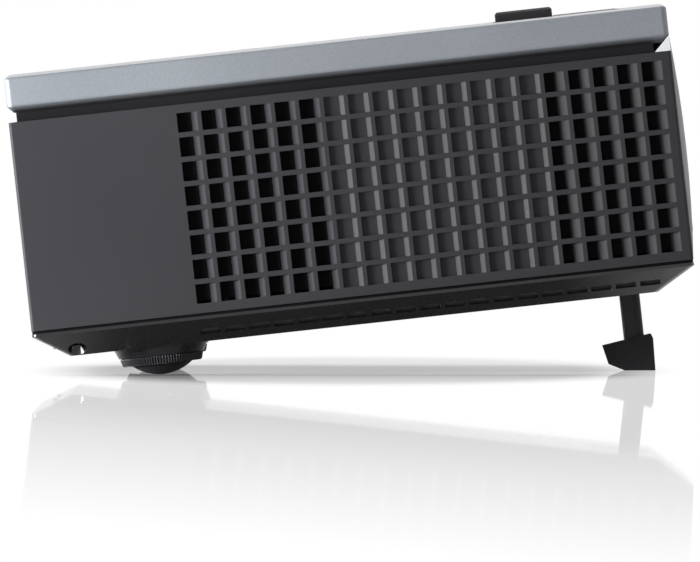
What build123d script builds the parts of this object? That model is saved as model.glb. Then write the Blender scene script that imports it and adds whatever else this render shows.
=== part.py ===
from build123d import *

import os
from math import cos, pi, radians, sin, tan

# A box-shaped projector with a disc drive in its far side, built from its separate pieces.
# Every piece is modelled with the body level: X across, -Y towards the lens end, Z up from the
# flat underside, the origin in the middle of the plan. All pieces are then turned together into
# the rest pose, nose up on the extended front foot, with the origin under the middle.

os.makedirs("parts", exist_ok=True)

# ---------------------------------------------------------------- sizes of the case
CASE_W = 287.0  # over the side panels
CASE_D = 222.0  # lens end to connector end
CASE_H = 94.6  # underside to the edge of the lid
TILT = 6.25  # nose-up angle, degrees
CORNER_R = 2.0  # upright corners
EDGE_R = 1.0  # small edge rounding
FIT = 0.2  # gap round a piece that drops into another
RUN_FIT = 0.08  # radial gap of a turning or sliding pin
CUT = 1.0  # how far a cut runs past a face

FLOOR_T = 2.5  # floor of the base
SLOPE_H = 7.6  # height of the sloped skirt
SLOPE_RUN = 12.0  # how far the skirt draws in at the sides and rear
SLOPE_FRONT = 12.7  # and at the lens end
SKIRT_T = 5.0  # level thickness of the skirt
RIDGE_H = 1.0  # upright band above the skirt
SEAM = 1.0  # dark gap between the base and the panels
LIP_H = 4.0  # base lip inside the panels
LIP_T = 1.8
PANEL_T = 3.0  # side, front and rear panels
BAND_H = 9.7  # upright edge of the lid
NECK_H = 5.3  # shadow gap from the panels' top to the lid's edge
BEVEL = 2.2  # bevel under the lid's edge
LID_WALL = 2.6
LID_T = 2.5
CROWN = 1.1  # rise of the lid's middle
NECK_INSET = 2.8
NECK_T = 2.0
NECK_FRONT = 5.6  # the neck stands further in behind the front bezel
FLANGE_DROP = 5.5  # the frame's flange below the lid's ceiling
FLANGE_T = 2.5
FLANGE_W = 10.0
BEZEL_BULGE = 1.7  # how far the front bezel swells forward

# ---------------------------------------------------------------- grille
CELL_PITCH = 8.2
CELL_W = 6.8
CELL_H = 6.5
CELL_ROWS = 8
DEEP_COLS = 5  # open columns with curved walls, nearest the lens end
BLIND_COLS = 9
OPEN_COLS = 6
GRILLE_MARGIN = 3.5  # lens end of the panel to the first cell
GRILLE_SILL = 3.2  # bottom of the panel to the lowest cell
OPEN_SHEAR = 2.1  # slant of the open cells' walls through the panel
BLIND_SHEAR = 1.6
BLIND_DEPTH = 1.4
DEEP_SHEAR = 3.5
DEEP_BOW = 0.25  # how far their walls bow
LEFT_ROWS = 4  # rows below the disc tray
SLOT_H = 1.7  # slots in the sloped skirt
SLOT_COLS = 19

# ---------------------------------------------------------------- lens
LENS_X = -70.0
LENS_DROP = 34.0  # lens axis below the lid's edge
FOCUS_RISE = 1.15  # focus ring's crest above the lid's edge
TAB_RISE = 4.05  # zoom tab above the lid's edge
FOCUS_BACK = 16.2  # lens end to the focus ring
FOCUS_L = 20.7
RING_GAP = 0.5
ZOOM_L = 19.2
ZOOM_R = 30.0
TAB_W = 9.0
TAB_CHAMFER = 1.2
RIM_T = 3.0  # outer skin of both rings
WEB_T = 3.0
HUB_T = 3.0
BARREL_R = 24.0
BARREL_BORE = 19.0
NOSE_R = 21.5
LENS_HOLE_R = 22.2
LENS_FLARE = 1.6
GRIP_COUNT = 60
GRIP_R = 0.8
GLASS_EDGE = 3.0
GLASS_BULGE = 3.0
WINDOW_HALF = 21.0  # half the width of the lens window in the lid
WINDOW_SIDE = 4.0

# ---------------------------------------------------------------- feet
FOOT_X = 30.0  # side of the case to the foot's axis
FOOT_Y = 42.0  # rear end to the foot's axis
COLLAR_TOP_R = 15.7
COLLAR_R = 14.3
COLLAR_H = 3.1
WHEEL_R = 13.9
WHEEL_H = 2.7
WHEEL_GAP = 0.1
KNURLS = 72
KNURL_R = 0.4
STUD_R = 5.0
STUD_UP = 12.0  # stud above the underside
BOSS_R = 8.5
BOSS_UP = 14.0
DOME_R = 16.0
DOME_LOW = 9.5  # dome below the underside
PAD_PIN_R = 2.5
PAD_PIN_L = 6.0
POST_BACK = 21.1  # lens end to the front foot's axis
POST_D = 6.8
POST_W = 16.0
POST_TOP = 34.0
GROOVE_W = 0.9
GROOVE_D = 0.5
GUIDE_T = 3.4
GUIDE_TOP = 56.0
GUIDE_ROOF = 2.0
GUIDE_FLANGE = 2.5
BOOT_W = 22.0
BOOT_FLOOR = 4.0
BOOT_WALL = 1.8
BOOT_REAR = 8.3  # post axis to the rear wall's inner face
BOOT_SOLE = ((-4.4, 0.0), (6.0, 0.0))  # forward of the post's axis, above the floor
BOOT_FRONT = ((5.2, 10.9), (4.5, 12.4), (3.7, 12.2))
BOOT_BACK = ((-11.9, 8.3), (-9.8, 2.1))
BOOT_POCKET = 1.0  # gap round the boot in the base
RELEASE_W = 20.0
RELEASE_H = 9.0
RELEASE_Z = 22.0
RELEASE_OUT = 1.0
RELEASE_TRAVEL = 2.5
RELEASE_STEM = 5.0
PAWL_GAP = 0.3

# ---------------------------------------------------------------- lamp, engine and fan
LAMP_X = 36.0
LAMP_Y = -20.0
LAMP_L = 56.0
LAMP_W = 54.0
LAMP_H = 53.0
LAMP_WALL = 1.5
REFLECTOR_R = 23.0
REFLECTOR_L = 30.0
REFLECTOR_T = 1.5
REFLECTOR_NECK_R = 6.0
REFLECTOR_NECK_L = 8.0
REFLECTOR_INSET = 4.0
BULB_R = 5.0
TUBE_R = 2.5
BURNER_BASE_L = 6.0
DOOR_T = 3.2
DOOR_LEDGE = 2.5
DOOR_HEAD = 1.9  # depth of the screw heads' wells
DOOR_SIDE = 2.0
DOOR_EAR = 8.0
ENGINE_L = 60.0
ENGINE_D = 42.0
ENGINE_LOW = 14.0
ENGINE_TOP = 6.0  # below the lid's edge
ENGINE_WALL = 3.0
LEG_R = 4.0
TUNNEL_W = 10.0
TUNNEL_H = 8.0
TUNNEL_WALL = 1.0
TUNNEL_L = 33.0
TUNNEL_IN = 3.0
WHEEL_DISC_R = 22.0
WHEEL_DISC_T = 1.0
WHEEL_OFFSET = 15.0  # colour wheel's axis above the light path
HUB_R = 6.0
MOTOR_R = 10.0
MOTOR_L = 13.5
SHAFT_R = 1.5
SHAFT_L = 6.0
BOARD_T = 1.6
IMAGER_W = 56.0
IMAGER_H = 52.0
CHIP_W = 20.0
CHIP_H = 16.0
CHIP_D = 3.0
SINK_W = 40.0
SINK_BASE = 3.5
SINK_D = 22.0
FIN_COUNT = 10
FIN_T = 1.5
FAN_W = 60.0
FAN_D = 15.0
FAN_BORE = 28.5
FAN_TIP = 27.5
FAN_HUB_R = 12.5
FAN_BLADES = 7
FAN_ROTOR_L = 10.0
FAN_STRUT = 3.0
SPEAKER_W = 39.0
SPEAKER_H = 60.0
SPEAKER_D = 20.0
MAGNET_R = 14.0
MAGNET_L = 8.0
SPEAKER_T = 2.0

# ---------------------------------------------------------------- boards and connectors
BOARD_X = (-100.0, 14.0)
BOARD_FRONT = 40.0
BOARD_Z = 30.0
STANDOFF_R = 3.0
PORT_RISE = 8.0  # port centres above the board
RECT_PORTS = ((-82.0, 31.0, 12.0), (-57.0, 15.0, 6.0))
ROUND_PORTS = ((-40.0, 6.0), (-26.0, 4.5), (-14.0, 4.5), (-2.0, 4.5), (9.0, 3.2))
PORT_DEPTH = 16.0
PORT_OUT = 0.6
INLET_X = 100.0
INLET_Z = 32.0
INLET_W = 27.4
INLET_H = 19.6
INLET_L = 20.0
INLET_WALL = 1.8
INLET_LIP = 2.0
INLET_LIP_T = 0.6
PRONG_L = 10.0
SUPPLY_X = (74.0, 130.0)
SUPPLY_Y = (18.0, 88.0)
SUPPLY_Z = 17.0
BALLAST_Y = (-48.0, 4.0)
BALLAST_H = 33.0

# ---------------------------------------------------------------- disc drive
DRIVE_Y = 19.0
DRIVE_Z = 60.0
DRIVE_W = 128.0
DRIVE_H = 12.7
DRIVE_L = 125.0
DRIVE_BACK = 4.0  # drive's mouth behind the side panel's face
SHEET_T = 0.8
TRAY_W = 125.0
TRAY_L = 124.0
TRAY_LIFT = 2.0  # tray above the drive's underside
TRAY_T = 8.5
DISC_R = 60.5
RECESS_D = 2.0
WELL_D = 5.0
WELL_W = 48.0
WELL_L = 79.0
SPINDLE_IN = 65.0  # side panel's face to the spindle
RUNNER_W = 4.0
TURNTABLE_R = 15.0
TURNTABLE_T = 1.2
DISC_HUB_R = 7.4
SPINDLE_R = 1.5
SPINDLE_MOTOR_R = 12.0
SPINDLE_MOTOR_L = 3.6
SLED_L = 14.0
SLED_T = 3.4
SLED_BACK = 24.5  # spindle to the sled's middle
SLED_TRAVEL = 23.0
ROD_R = 1.0
ROD_SPREAD = 20.0
SCREW_R = 1.3
SCREW_SIDE = 10.0
DRIVE_POST_X = (70.5, 136.0)
DRIVE_POST_Y = (-40.0, 13.0, 78.0)
TRAY_FACE_W = 128.4
TRAY_FACE_H = 12.2
TRAY_FACE_T = 3.8
EJECT_W = 10.0
EJECT_H = 3.4
EJECT_Y = 45.0
EJECT_TRAVEL = 0.8

# ---------------------------------------------------------------- keypad and screws
KEYPAD_X = 62.0
KEYPAD_Y = 10.0
KEYPAD_W = 86.0
KEYPAD_D = 62.0
KEYPAD_R = 12.0
KEYPAD_T = 1.9
KEYPAD_SINK = 1.0  # plate's underside below the lid's edge
BUTTON_RISE = 0.2
BUTTON_DROP = 1.6  # button's foot below the lid's ceiling
BUTTON_LIP = 1.0
BUTTON_FLANGE = 1.2
ENTER_R = 8.0
NAV_IN = 10.5
NAV_OUT = 20.0
NAV_ANGLE = 76.0
KEY_R = 5.0
KEY_PLACES = ((-31.0, 19.0), (31.0, 19.0), (-31.0, -19.0), (31.0, -19.0))
LIGHT_R = 1.5
LIGHT_PITCH = 8.0
LIGHT_AHEAD = 40.0
SCREW_HEAD_R = 2.8
SCREW_HEAD_T = 1.8
SCREW_SHANK_R = 1.5
SCREW_WELL_R = 3.1
SCREW_L = 10.0
REAR_SCREW = (8.6, 14.5)  # in from the side and from the rear
FRONT_SCREW = (31.5, 9.3)  # in from the side and from the lens end
PILLAR_R = 3.5
PILLAR_BOSS_R = 4.5
PILLAR_BOSS_TOP = 10.0
INSERT_R = 2.0  # threaded inserts for a ceiling bracket
INSERT_L = 8.0
INSERT_PCD = 90.0
INSERT_MIDDLE = (-10.0, 46.0)
INSERT_COUNT = 3
INSERT_BOSS_R = 4.5
RECEIVER_X = 60.0
RECEIVER_Z = 55.0
RECEIVER_W = 18.0
RECEIVER_H = 9.0

# ---------------------------------------------------------------- worked out from the above
SIDE_X = CASE_W / 2
END_Y = CASE_D / 2
BASE_TOP = SLOPE_H + RIDGE_H
PANEL_Z0 = BASE_TOP + SEAM
PANEL_Z1 = CASE_H - BAND_H - NECK_H
BAND_Z0 = CASE_H - BAND_H
CEILING = CASE_H - LID_T
FLANGE_Z = CEILING - FLANGE_DROP
INNER_X = SIDE_X - PANEL_T  # inner faces of the panels
INNER_Y = END_Y - PANEL_T
LENS_Z = CASE_H - LENS_DROP
FOCUS_R = LENS_DROP + FOCUS_RISE
FOCUS_Y = -END_Y + FOCUS_BACK  # forward faces of the two rings
ZOOM_Y = FOCUS_Y + FOCUS_L + RING_GAP
BARREL_END = -42.0  # barrel's rear face, on the light engine
GRILLE_Y = -END_Y + GRILLE_MARGIN
CELL_ZS = [PANEL_Z0 + GRILLE_SILL + CELL_PITCH * row for row in range(CELL_ROWS)]
FOOT_PLACES = ((-SIDE_X + FOOT_X, END_Y - FOOT_Y), (SIDE_X - FOOT_X, END_Y - FOOT_Y))
POST_Y = -END_Y + POST_BACK
WHEEL_TOP = -COLLAR_H - WHEEL_GAP
PAD_TOP = WHEEL_TOP - WHEEL_H - WHEEL_GAP
DOME_Z = DOME_R - DOME_LOW
LAMP_Z = DOOR_T + LAMP_H / 2
TILT_COS = cos(radians(TILT))
TILT_SIN = sin(radians(TILT))
# The floor's height under the front foot's axis, in the level body's frame.
SOLE_Z = DOME_Z - DOME_R / TILT_COS + (POST_Y - FOOT_PLACES[0][1]) * tan(radians(TILT))
BOOT_TOP = SOLE_Z + max(point[1] for point in BOOT_FRONT + BOOT_BACK)
FOOT_LIFT = FLOOR_T - BOOT_TOP - PAWL_GAP
SLED_X = SIDE_X - SPINDLE_IN - SLED_BACK
SPINDLE_X = SIDE_X - SPINDLE_IN
TRAY_X1 = SIDE_X - DRIVE_BACK + FIT
TRAY_Z = DRIVE_Z + TRAY_LIFT
WELL_TOP = TRAY_Z + WELL_D
DRIVE_X0 = SIDE_X - DRIVE_BACK - DRIVE_L
PLATE_Z = CASE_H - KEYPAD_SINK
BUTTON_TOP = PLATE_Z + KEYPAD_T + BUTTON_RISE
BUTTON_FOOT = CEILING - BUTTON_DROP
SCREW_PLACES = [
    (side * (SIDE_X - inset), end)
    for inset, end in (
        (REAR_SCREW[0], END_Y - REAR_SCREW[1]),
        (FRONT_SCREW[0], -END_Y + FRONT_SCREW[1]),
    )
    for side in (-1, 1)
]
SCREW_SEAT = PILLAR_BOSS_TOP - 4.0  # screw heads seat here, inside the base
DOOR_SCREWS = [(LAMP_X, LAMP_Y + side * (LAMP_W / 2 + DOOR_EAR / 2 + CUT)) for side in (-1, 1)]


def block(x, y, z, mode=Mode.ADD):
    """A box between the low and high limit on each axis."""
    with Locations([(sum(x) / 2, sum(y) / 2, sum(z) / 2)]):
        Box(x[1] - x[0], y[1] - y[0], z[1] - z[0], mode=mode)


def post(x, y, z, radius, mode=Mode.ADD):
    """An upright cylinder between two heights."""
    with Locations([(x, y, z[0])]):
        Cylinder(radius, z[1] - z[0], align=(Align.CENTER, Align.CENTER, Align.MIN), mode=mode)


def bar_x(x, y, z, radius, mode=Mode.ADD):
    """A cylinder along X between two limits."""
    with Locations([(sum(x) / 2, y, z)]):
        Cylinder(radius, x[1] - x[0], rotation=(0, 90, 0), mode=mode)


def bar_y(x, y, z, radius, mode=Mode.ADD):
    """A cylinder along Y between two limits."""
    with Locations([(x, sum(y) / 2, z)]):
        Cylinder(radius, y[1] - y[0], rotation=(90, 0, 0), mode=mode)


def about(middle, width):
    """The low and high limit of a width about its middle."""
    return (middle - width / 2, middle + width / 2)


# ================================================================ casing
with BuildPart() as bottom_cover:
    # The tray: a floor, a skirt that slopes outwards and a lip inside the panels.
    with BuildSketch():
        with Locations((0, (SLOPE_FRONT - SLOPE_RUN) / 2)):
            RectangleRounded(
                CASE_W - 2 * SLOPE_RUN, CASE_D - SLOPE_FRONT - SLOPE_RUN, CORNER_R
            )
    with BuildSketch(Plane.XY.offset(SLOPE_H)):
        RectangleRounded(CASE_W, CASE_D, CORNER_R)
    loft(ruled=True)
    with BuildSketch(Plane.XY.offset(SLOPE_H)):
        RectangleRounded(CASE_W, CASE_D, CORNER_R)
    extrude(amount=RIDGE_H)
    lip_x = INNER_X - FIT
    lip_y = INNER_Y - FIT
    block((-lip_x, lip_x), (-lip_y, lip_y), (BASE_TOP, BASE_TOP + LIP_H))
    with BuildSketch(Plane.XY.offset(FLOOR_T)):
        low_run = SLOPE_RUN * (1 - FLOOR_T / SLOPE_H) + SKIRT_T
        low_front = SLOPE_FRONT * (1 - FLOOR_T / SLOPE_H) + SKIRT_T
        with Locations((0, (low_front - low_run) / 2)):
            Rectangle(CASE_W - 2 * low_run, CASE_D - low_front - low_run)
    with BuildSketch(Plane.XY.offset(SLOPE_H)):
        Rectangle(2 * (lip_x - LIP_T), 2 * (lip_y - LIP_T))
    loft(ruled=True, mode=Mode.SUBTRACT)
    tray_x = (-lip_x + LIP_T, lip_x - LIP_T)
    tray_y = (-lip_y + LIP_T, lip_y - LIP_T)
    block(tray_x, tray_y, (SLOPE_H, BASE_TOP + LIP_H + CUT), mode=Mode.SUBTRACT)

    # Slots in the sloped skirt, under the grille's columns.
    slot_y = GRILLE_Y + CELL_W / 2 + CELL_PITCH * (DEEP_COLS + BLIND_COLS + OPEN_COLS - SLOT_COLS)
    slot_places = [
        (side * (SIDE_X - SLOPE_RUN), slot_y + CELL_PITCH * slot, FLOOR_T + SLOT_H / 2)
        for slot in range(SLOT_COLS)
        for side in (-1, 1)
    ]
    with Locations(slot_places):
        Box(2 * SLOPE_RUN, CELL_W, SLOT_H, mode=Mode.SUBTRACT)

    # Collars and bosses of the two rear feet.
    for foot_x, foot_y in FOOT_PLACES:
        with Locations((foot_x, foot_y, -COLLAR_H / 2)):
            Cone(COLLAR_R, COLLAR_TOP_R, COLLAR_H)
        post(foot_x, foot_y, (0, BOSS_UP), BOSS_R)
        post(foot_x, foot_y, (-COLLAR_H - CUT, BOSS_UP + CUT), STUD_R + RUN_FIT, Mode.SUBTRACT)

    # Opening for the front foot's boot to sink into.
    boot_reach = BOOT_FRONT[0][0] * TILT_COS + BOOT_FRONT[0][1] * TILT_SIN
    boot_y = (POST_Y - boot_reach - 2 * FIT, POST_Y + BOOT_REAR + 4 * CUT)
    block(about(0, BOOT_W + 2 * BOOT_POCKET), boot_y, (-CUT, FLOOR_T + CUT), Mode.SUBTRACT)

    # Lamp door: a shallow pocket below and a smaller opening through it.
    door_x = about(LAMP_X, LAMP_L + 2 + 2 * DOOR_SIDE)
    door_y = about(LAMP_Y, LAMP_W + 2 + 2 * DOOR_EAR)
    hatch_x = about(LAMP_X, LAMP_L + 2)
    hatch_y = about(LAMP_Y, LAMP_W + 2)
    ledge_top = DOOR_T + DOOR_LEDGE
    ledge_x = (door_x[0] - DOOR_SIDE, door_x[1] + DOOR_SIDE)
    ledge_y = (door_y[0] - DOOR_SIDE, door_y[1] + DOOR_SIDE)
    block(ledge_x, ledge_y, (FLOOR_T, ledge_top))
    block(door_x, door_y, (-CUT, DOOR_T), Mode.SUBTRACT)
    block(hatch_x, hatch_y, (0, ledge_top + CUT), Mode.SUBTRACT)
    for screw_x, screw_y in DOOR_SCREWS:
        post(screw_x, screw_y, (DOOR_T, DOOR_HEAD + SCREW_L + CUT), STANDOFF_R)
        pilot = (0, DOOR_HEAD + SCREW_L + CUT)
        post(screw_x, screw_y, pilot, SCREW_SHANK_R + RUN_FIT, Mode.SUBTRACT)

    # Bosses over the screws that hold the base to the frame's pillars.
    for screw_x, screw_y in SCREW_PLACES:
        reach = SIDE_X - abs(screw_x) if screw_y > 0 else END_Y - abs(screw_y)
        run = SLOPE_RUN if screw_y > 0 else SLOPE_FRONT
        boss_low = SLOPE_H * (1 - max(reach - PILLAR_BOSS_R, 0) / run)
        post(screw_x, screw_y, (boss_low, PILLAR_BOSS_TOP), PILLAR_BOSS_R)
        post(screw_x, screw_y, (-CUT, SCREW_SEAT), SCREW_WELL_R, Mode.SUBTRACT)
        post(screw_x, screw_y, (0, PILLAR_BOSS_TOP + CUT), SCREW_SHANK_R + FIT, Mode.SUBTRACT)

    # Posts under the disc drive and standoffs under the main board.
    for post_x in DRIVE_POST_X:
        for post_y in DRIVE_POST_Y:
            post(post_x, post_y, (FLOOR_T, DRIVE_Z), STANDOFF_R)
    for board_x in (BOARD_X[0] + 2 * STANDOFF_R, BOARD_X[1] - 2 * STANDOFF_R):
        for board_y in (BOARD_FRONT + 2 * STANDOFF_R, INNER_Y - 2 * STANDOFF_R):
            post(board_x, board_y, (FLOOR_T, BOARD_Z), STANDOFF_R)

    # Threaded inserts for a ceiling bracket.
    with Locations(INSERT_MIDDLE):
        with PolarLocations(INSERT_PCD / 2, INSERT_COUNT, start_angle=90) as inserts:
            Cylinder(INSERT_BOSS_R, INSERT_L + 2, align=(Align.CENTER, Align.CENTER, Align.MIN))
    for insert in inserts:
        post(insert.position.X, insert.position.Y, (-CUT, INSERT_L), INSERT_R, Mode.SUBTRACT)
bottom_cover.part.label = "bottom_cover"


def side_panel(rows):
    """The side panel of the picture's side, at -X, with a grille of this many rows."""
    face_x = -SIDE_X
    with BuildSketch() as open_cell:
        Polygon(
            (-CUT, 0),
            (0, 0),
            (PANEL_T, OPEN_SHEAR),
            (PANEL_T + CUT, OPEN_SHEAR),
            (PANEL_T + CUT, OPEN_SHEAR + CELL_W),
            (PANEL_T, OPEN_SHEAR + CELL_W),
            (0, CELL_W),
            (-CUT, CELL_W),
            align=None,
        )
    with BuildSketch() as blind_cell:
        Polygon(
            (-CUT, 0),
            (0, 0),
            (BLIND_DEPTH, BLIND_SHEAR),
            (BLIND_DEPTH, CELL_W),
            (-CUT, CELL_W),
            align=None,
        )
    with BuildSketch() as deep_cell:
        with BuildLine():
            Line((0, 0), (-CUT, 0))
            Line((-CUT, 0), (-CUT, CELL_W))
            Line((-CUT, CELL_W), (PANEL_T + CUT, CELL_W))
            Line((PANEL_T + CUT, CELL_W), (PANEL_T + CUT, DEEP_SHEAR))
            Line((PANEL_T + CUT, DEEP_SHEAR), (PANEL_T, DEEP_SHEAR))
            deep_mid = (PANEL_T / 2 + DEEP_BOW, DEEP_SHEAR / 2 - DEEP_BOW)
            ThreePointArc((PANEL_T, DEEP_SHEAR), deep_mid, (0, 0))
        make_face()
    levels = [Plane.XY.offset(level) for level in CELL_ZS[:rows]]
    blind_from = DEEP_COLS
    open_from = DEEP_COLS + BLIND_COLS
    last = open_from + OPEN_COLS
    with BuildPart() as panel:
        block((face_x, -INNER_X), (-END_Y, END_Y), (PANEL_Z0, PANEL_Z1))
        outer = panel.edges().filter_by(Axis.Z).group_by(Axis.X)[0]
        fillet(outer, EDGE_R)
        with BuildSketch(*levels):
            with Locations([(face_x, GRILLE_Y + CELL_PITCH * col) for col in range(blind_from)]):
                add(deep_cell.sketch)
            cols = range(blind_from, open_from)
            with Locations([(face_x, GRILLE_Y + CELL_PITCH * col) for col in cols]):
                add(blind_cell.sketch)
            cols = range(open_from, last)
            with Locations([(face_x, GRILLE_Y + CELL_PITCH * col) for col in cols]):
                add(open_cell.sketch)
        extrude(amount=CELL_H, mode=Mode.SUBTRACT)
    return panel


right_side_panel = side_panel(CELL_ROWS)
right_side_panel.part.label = "right_side_panel"

left_blank = side_panel(LEFT_ROWS)
with BuildPart() as left_side_panel:
    mirror(left_blank.part, about=Plane.YZ)
    mouth_y = about(DRIVE_Y, TRAY_FACE_W + 2 * FIT)
    mouth_z = about(DRIVE_Z + DRIVE_H / 2, TRAY_FACE_H + 2 * FIT)
    block((INNER_X - CUT, SIDE_X + CUT), mouth_y, mouth_z, Mode.SUBTRACT)
left_side_panel.part.label = "left_side_panel"

with BuildPart() as rear_panel:
    panel_x = INNER_X - FIT
    block((-panel_x, panel_x), (INNER_Y, END_Y), (PANEL_Z0, PANEL_Z1))
    port_z = BOARD_Z + BOARD_T + PORT_RISE
    panel_y = (INNER_Y - CUT, END_Y + CUT)
    for port_x, width, height in RECT_PORTS:
        port_span = about(port_x, width + 2 * FIT)
        block(port_span, panel_y, about(port_z, height + 2 * FIT), Mode.SUBTRACT)
    for port_x, radius in ROUND_PORTS:
        bar_y(port_x, panel_y, port_z, radius + FIT, Mode.SUBTRACT)
    inlet_span = about(INLET_X, INLET_W + 2 * FIT)
    block(inlet_span, panel_y, about(INLET_Z, INLET_H + 2 * FIT), Mode.SUBTRACT)
rear_panel.part.label = "rear_panel"

with BuildPart() as front_bezel:
    # The swelling front, seen from the side, with a wedge under the lid's edge.
    bezel_mid = (PANEL_Z0 + BAND_Z0) / 2
    with BuildSketch(Plane.YZ.offset(-panel_x)):
        with BuildLine():
            Polyline((-END_Y, BAND_Z0), (-INNER_Y, BAND_Z0 - PANEL_T), (-INNER_Y, PANEL_Z0))
            Line((-INNER_Y, PANEL_Z0), (-END_Y, PANEL_Z0))
            ThreePointArc(
                (-END_Y, PANEL_Z0), (-END_Y - BEZEL_BULGE, bezel_mid), (-END_Y, BAND_Z0)
            )
        make_face()
    extrude(amount=2 * panel_x)
    with BuildSketch(Plane.YZ.offset(-SIDE_X + FIT)):
        Polygon(
            (-END_Y, BAND_Z0),
            (-END_Y, PANEL_Z1),
            (-END_Y + NECK_H, PANEL_Z1),
            align=None,
        )
    extrude(amount=CASE_W - 2 * FIT)
    flare_l = PANEL_T + BEZEL_BULGE
    with Locations((LENS_X, -INNER_Y - flare_l / 2, LENS_Z)):
        Cone(
            LENS_HOLE_R,
            LENS_HOLE_R + LENS_FLARE,
            flare_l,
            rotation=(90, 0, 0),
            mode=Mode.SUBTRACT,
        )
    hole_y = (-INNER_Y - CUT, -END_Y + NECK_H + CUT)
    bar_y(LENS_X, hole_y, LENS_Z, LENS_HOLE_R, Mode.SUBTRACT)
    bezel_y = (-END_Y - BEZEL_BULGE - CUT, -INNER_Y + CUT)
    receiver_x = about(RECEIVER_X, RECEIVER_W)
    receiver_z = about(RECEIVER_Z, RECEIVER_H)
    block(receiver_x, bezel_y, receiver_z, Mode.SUBTRACT)
    release_hole_x = about(0, RELEASE_W + 2 * FIT)
    release_hole_z = about(RELEASE_Z, RELEASE_H + 2 * FIT)
    block(release_hole_x, bezel_y, release_hole_z, Mode.SUBTRACT)
front_bezel.part.label = "front_bezel"

with BuildPart() as infrared_window:
    window_x = about(RECEIVER_X, RECEIVER_W - 2 * FIT)
    window_z = about(RECEIVER_Z, RECEIVER_H - 2 * FIT)
    block(window_x, (-END_Y - BEZEL_BULGE / 2, -INNER_Y), window_z)
    fillet(infrared_window.edges().filter_by(Axis.Y), EDGE_R)
infrared_window.part.label = "infrared_window"

with BuildPart() as upper_frame:
    # A ring that carries the lid, with pillars down to the base.
    neck_x = SIDE_X - NECK_INSET
    neck_rear = END_Y - NECK_INSET
    neck_front = -END_Y + NECK_FRONT
    inner_x = neck_x - NECK_T - PANEL_T + NECK_INSET
    inner_y = (neck_front + NECK_T, neck_rear - NECK_T - PANEL_T + NECK_INSET)
    skirt_z = PANEL_Z1 - LIP_H / 2
    block((-neck_x, neck_x), (neck_front, neck_rear), (PANEL_Z1, CEILING))
    block((-lip_x, lip_x), (neck_front, lip_y), (skirt_z, PANEL_Z1))
    block((-inner_x, inner_x), inner_y, (skirt_z - CUT, FLANGE_Z), Mode.SUBTRACT)
    block((-inner_x, inner_x), inner_y, (FLANGE_Z + FLANGE_T, CEILING + CUT), Mode.SUBTRACT)
    hollow_y = (neck_front + FLANGE_W, neck_rear - FLANGE_W)
    hollow_x = (-neck_x + FLANGE_W, neck_x - FLANGE_W)
    block(hollow_x, hollow_y, (FLANGE_Z - CUT, FLANGE_Z + FLANGE_T + CUT), Mode.SUBTRACT)
    # A gap over the lens, for the barrel's nose and the focus ring.
    gap_x = about(LENS_X, 2 * (WINDOW_HALF + WINDOW_SIDE))
    nose_top = LENS_Z + NOSE_R + CUT
    block(gap_x, (neck_front - CUT, hollow_y[0] + CUT), (skirt_z - CUT, nose_top), Mode.SUBTRACT)
    gap_y = (neck_front + NECK_T, hollow_y[0] + CUT)
    block(gap_x, gap_y, (skirt_z - CUT, CEILING + CUT), Mode.SUBTRACT)
    for screw_x, screw_y in SCREW_PLACES:
        post(screw_x, screw_y, (PILLAR_BOSS_TOP, FLANGE_Z + FLANGE_T), PILLAR_R)
        pilot = (PILLAR_BOSS_TOP - CUT, SCREW_SEAT + SCREW_L + CUT)
        post(screw_x, screw_y, pilot, SCREW_SHANK_R + RUN_FIT, Mode.SUBTRACT)
upper_frame.part.label = "upper_frame"

with BuildPart() as top_cover:
    # A crowned lid with a bevelled underside.
    with BuildSketch(Plane.XZ.offset(-END_Y)):
        with BuildLine():
            Polyline((-SIDE_X, CASE_H), (-SIDE_X, BAND_Z0), (SIDE_X, BAND_Z0), (SIDE_X, CASE_H))
            ThreePointArc((SIDE_X, CASE_H), (0, CASE_H + CROWN), (-SIDE_X, CASE_H))
        make_face()
    extrude(amount=CASE_D)
    fillet(top_cover.edges().filter_by(Axis.Z), CORNER_R)
    fillet(top_cover.faces().sort_by(Axis.Z)[-1].edges(), EDGE_R)
    with BuildSketch(Plane.XY.offset(BAND_Z0 - BEVEL)):
        RectangleRounded(CASE_W - 2 * BEVEL, CASE_D - 2 * BEVEL, CORNER_R)
    with BuildSketch(Plane.XY.offset(BAND_Z0)):
        RectangleRounded(CASE_W, CASE_D, CORNER_R)
    loft(ruled=True)
    # The hollow and the openings: the lens window, the keypad's recess and the lights' holes.
    window_y = (FOCUS_Y - CUT, ZOOM_Y + ZOOM_L + CUT)
    lid_x = SIDE_X - LID_WALL
    lid_y = END_Y - LID_WALL
    block((-lid_x, lid_x), (-lid_y, lid_y), (BAND_Z0 - BEVEL - CUT, CEILING), Mode.SUBTRACT)
    with BuildSketch(Plane.XY.offset(CEILING - CUT)):
        with Locations((LENS_X, sum(window_y) / 2)):
            RectangleRounded(2 * WINDOW_HALF, window_y[1] - window_y[0], CORNER_R)
    extrude(amount=LID_T + 4 * CUT, mode=Mode.SUBTRACT)
    with BuildSketch(Plane.XY.offset(PLATE_Z)):
        with Locations((KEYPAD_X, KEYPAD_Y)):
            RectangleRounded(KEYPAD_W + 2 * FIT, KEYPAD_D + 2 * FIT, KEYPAD_R)
    extrude(amount=LID_T + 2 * CUT, mode=Mode.SUBTRACT)
    for light in (-1, 0, 1):
        light_x = KEYPAD_X + light * LIGHT_PITCH
        light_z = (CEILING - CUT, CASE_H + 2 * CUT)
        post(light_x, KEYPAD_Y + LIGHT_AHEAD, light_z, LIGHT_R + FIT, Mode.SUBTRACT)


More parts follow.
